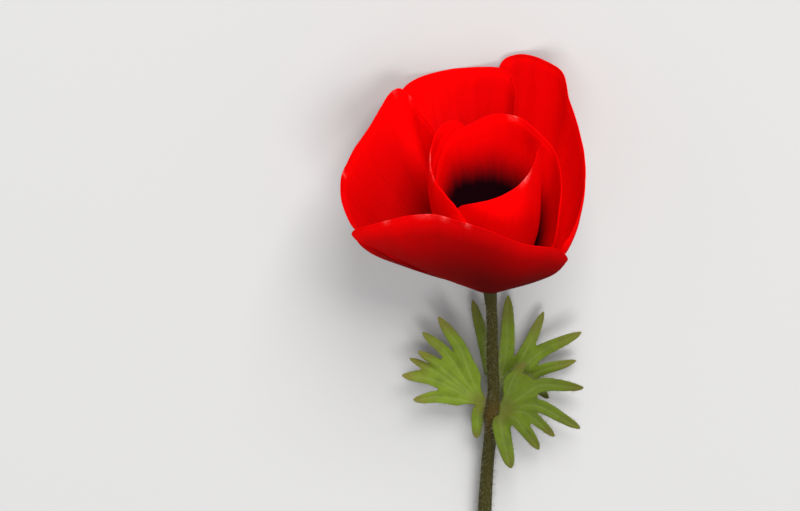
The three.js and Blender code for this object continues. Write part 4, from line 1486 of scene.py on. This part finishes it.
class ANEMONE_OT_stem(bpy.types.Operator):
    """Build the hairy stem"""

    bl_idname = "anemone.stem"
    bl_label = "Stem"

    def execute(self, context):
        settings = context.scene.anemone_greens
        add_stem(settings, stem_finish(settings), hair_finish(settings))
        return {"FINISHED"}


class ANEMONE_OT_bracts(bpy.types.Operator):
    """Build the whorl of three cut bracts"""

    bl_idname = "anemone.bracts"
    bl_label = "Bracts"

    def execute(self, context):
        settings = context.scene.anemone_greens
        finish = bract_finish(settings)
        hair = hair_finish(settings)
        for number, name in enumerate(BRACTS):
            add_bract(name, number, settings, finish, hair)
        return {"FINISHED"}


class ANEMONE_OT_stage(bpy.types.Operator):
    """Lay the floor and set the lights and the camera"""

    bl_idname = "anemone.stage"
    bl_label = "Stage"

    def execute(self, context):
        settings = context.scene.anemone_stage
        add_floor(settings)
        add_light("key", KEY_LIGHT, settings.key_power)
        add_light("fill", FILL_LIGHT, settings.fill_power)
        add_sky(settings)
        add_camera(settings)
        context.scene.view_settings.view_transform = "Standard"
        return {"FINISHED"}


PROPERTY_GROUPS = {
    "anemone_tepals": AnemoneTepals,
    "anemone_heart": AnemoneHeart,
    "anemone_greens": AnemoneGreens,
    "anemone_stage": AnemoneStage,
}
OPERATORS = (
    ANEMONE_OT_tepals,
    ANEMONE_OT_heart,
    ANEMONE_OT_stem,
    ANEMONE_OT_bracts,
    ANEMONE_OT_stage,
)


class ANEMONE_PT_parts(bpy.types.Panel):
    """Lists what a user may change and the steps that build the flower"""

    bl_label = "Anemone"
    bl_idname = "ANEMONE_PT_parts"
    bl_space_type = "VIEW_3D"
    bl_region_type = "UI"
    bl_category = "Anemone"

    def draw(self, context):
        for group in PROPERTY_GROUPS:
            box = self.layout.box()
            settings = getattr(context.scene, group)
            for key in settings.__annotations__:
                box.prop(settings, key)
        for operator in OPERATORS:
            self.layout.operator(operator.bl_idname)


CLASSES = (*PROPERTY_GROUPS.values(), *OPERATORS, ANEMONE_PT_parts)


def register():
    for kind in CLASSES:
        bpy.utils.register_class(kind)
    for name, kind in PROPERTY_GROUPS.items():
        setattr(bpy.types.Scene, name, PointerProperty(type=kind))


def unregister():
    for name in PROPERTY_GROUPS:
        delattr(bpy.types.Scene, name)
    for kind in reversed(CLASSES):
        bpy.utils.unregister_class(kind)


def main():
    register()
    bpy.ops.anemone.tepals()
    bpy.ops.anemone.heart()
    bpy.ops.anemone.stem()
    bpy.ops.anemone.bracts()
    bpy.ops.anemone.stage()


if __name__ == "__main__":
    main()
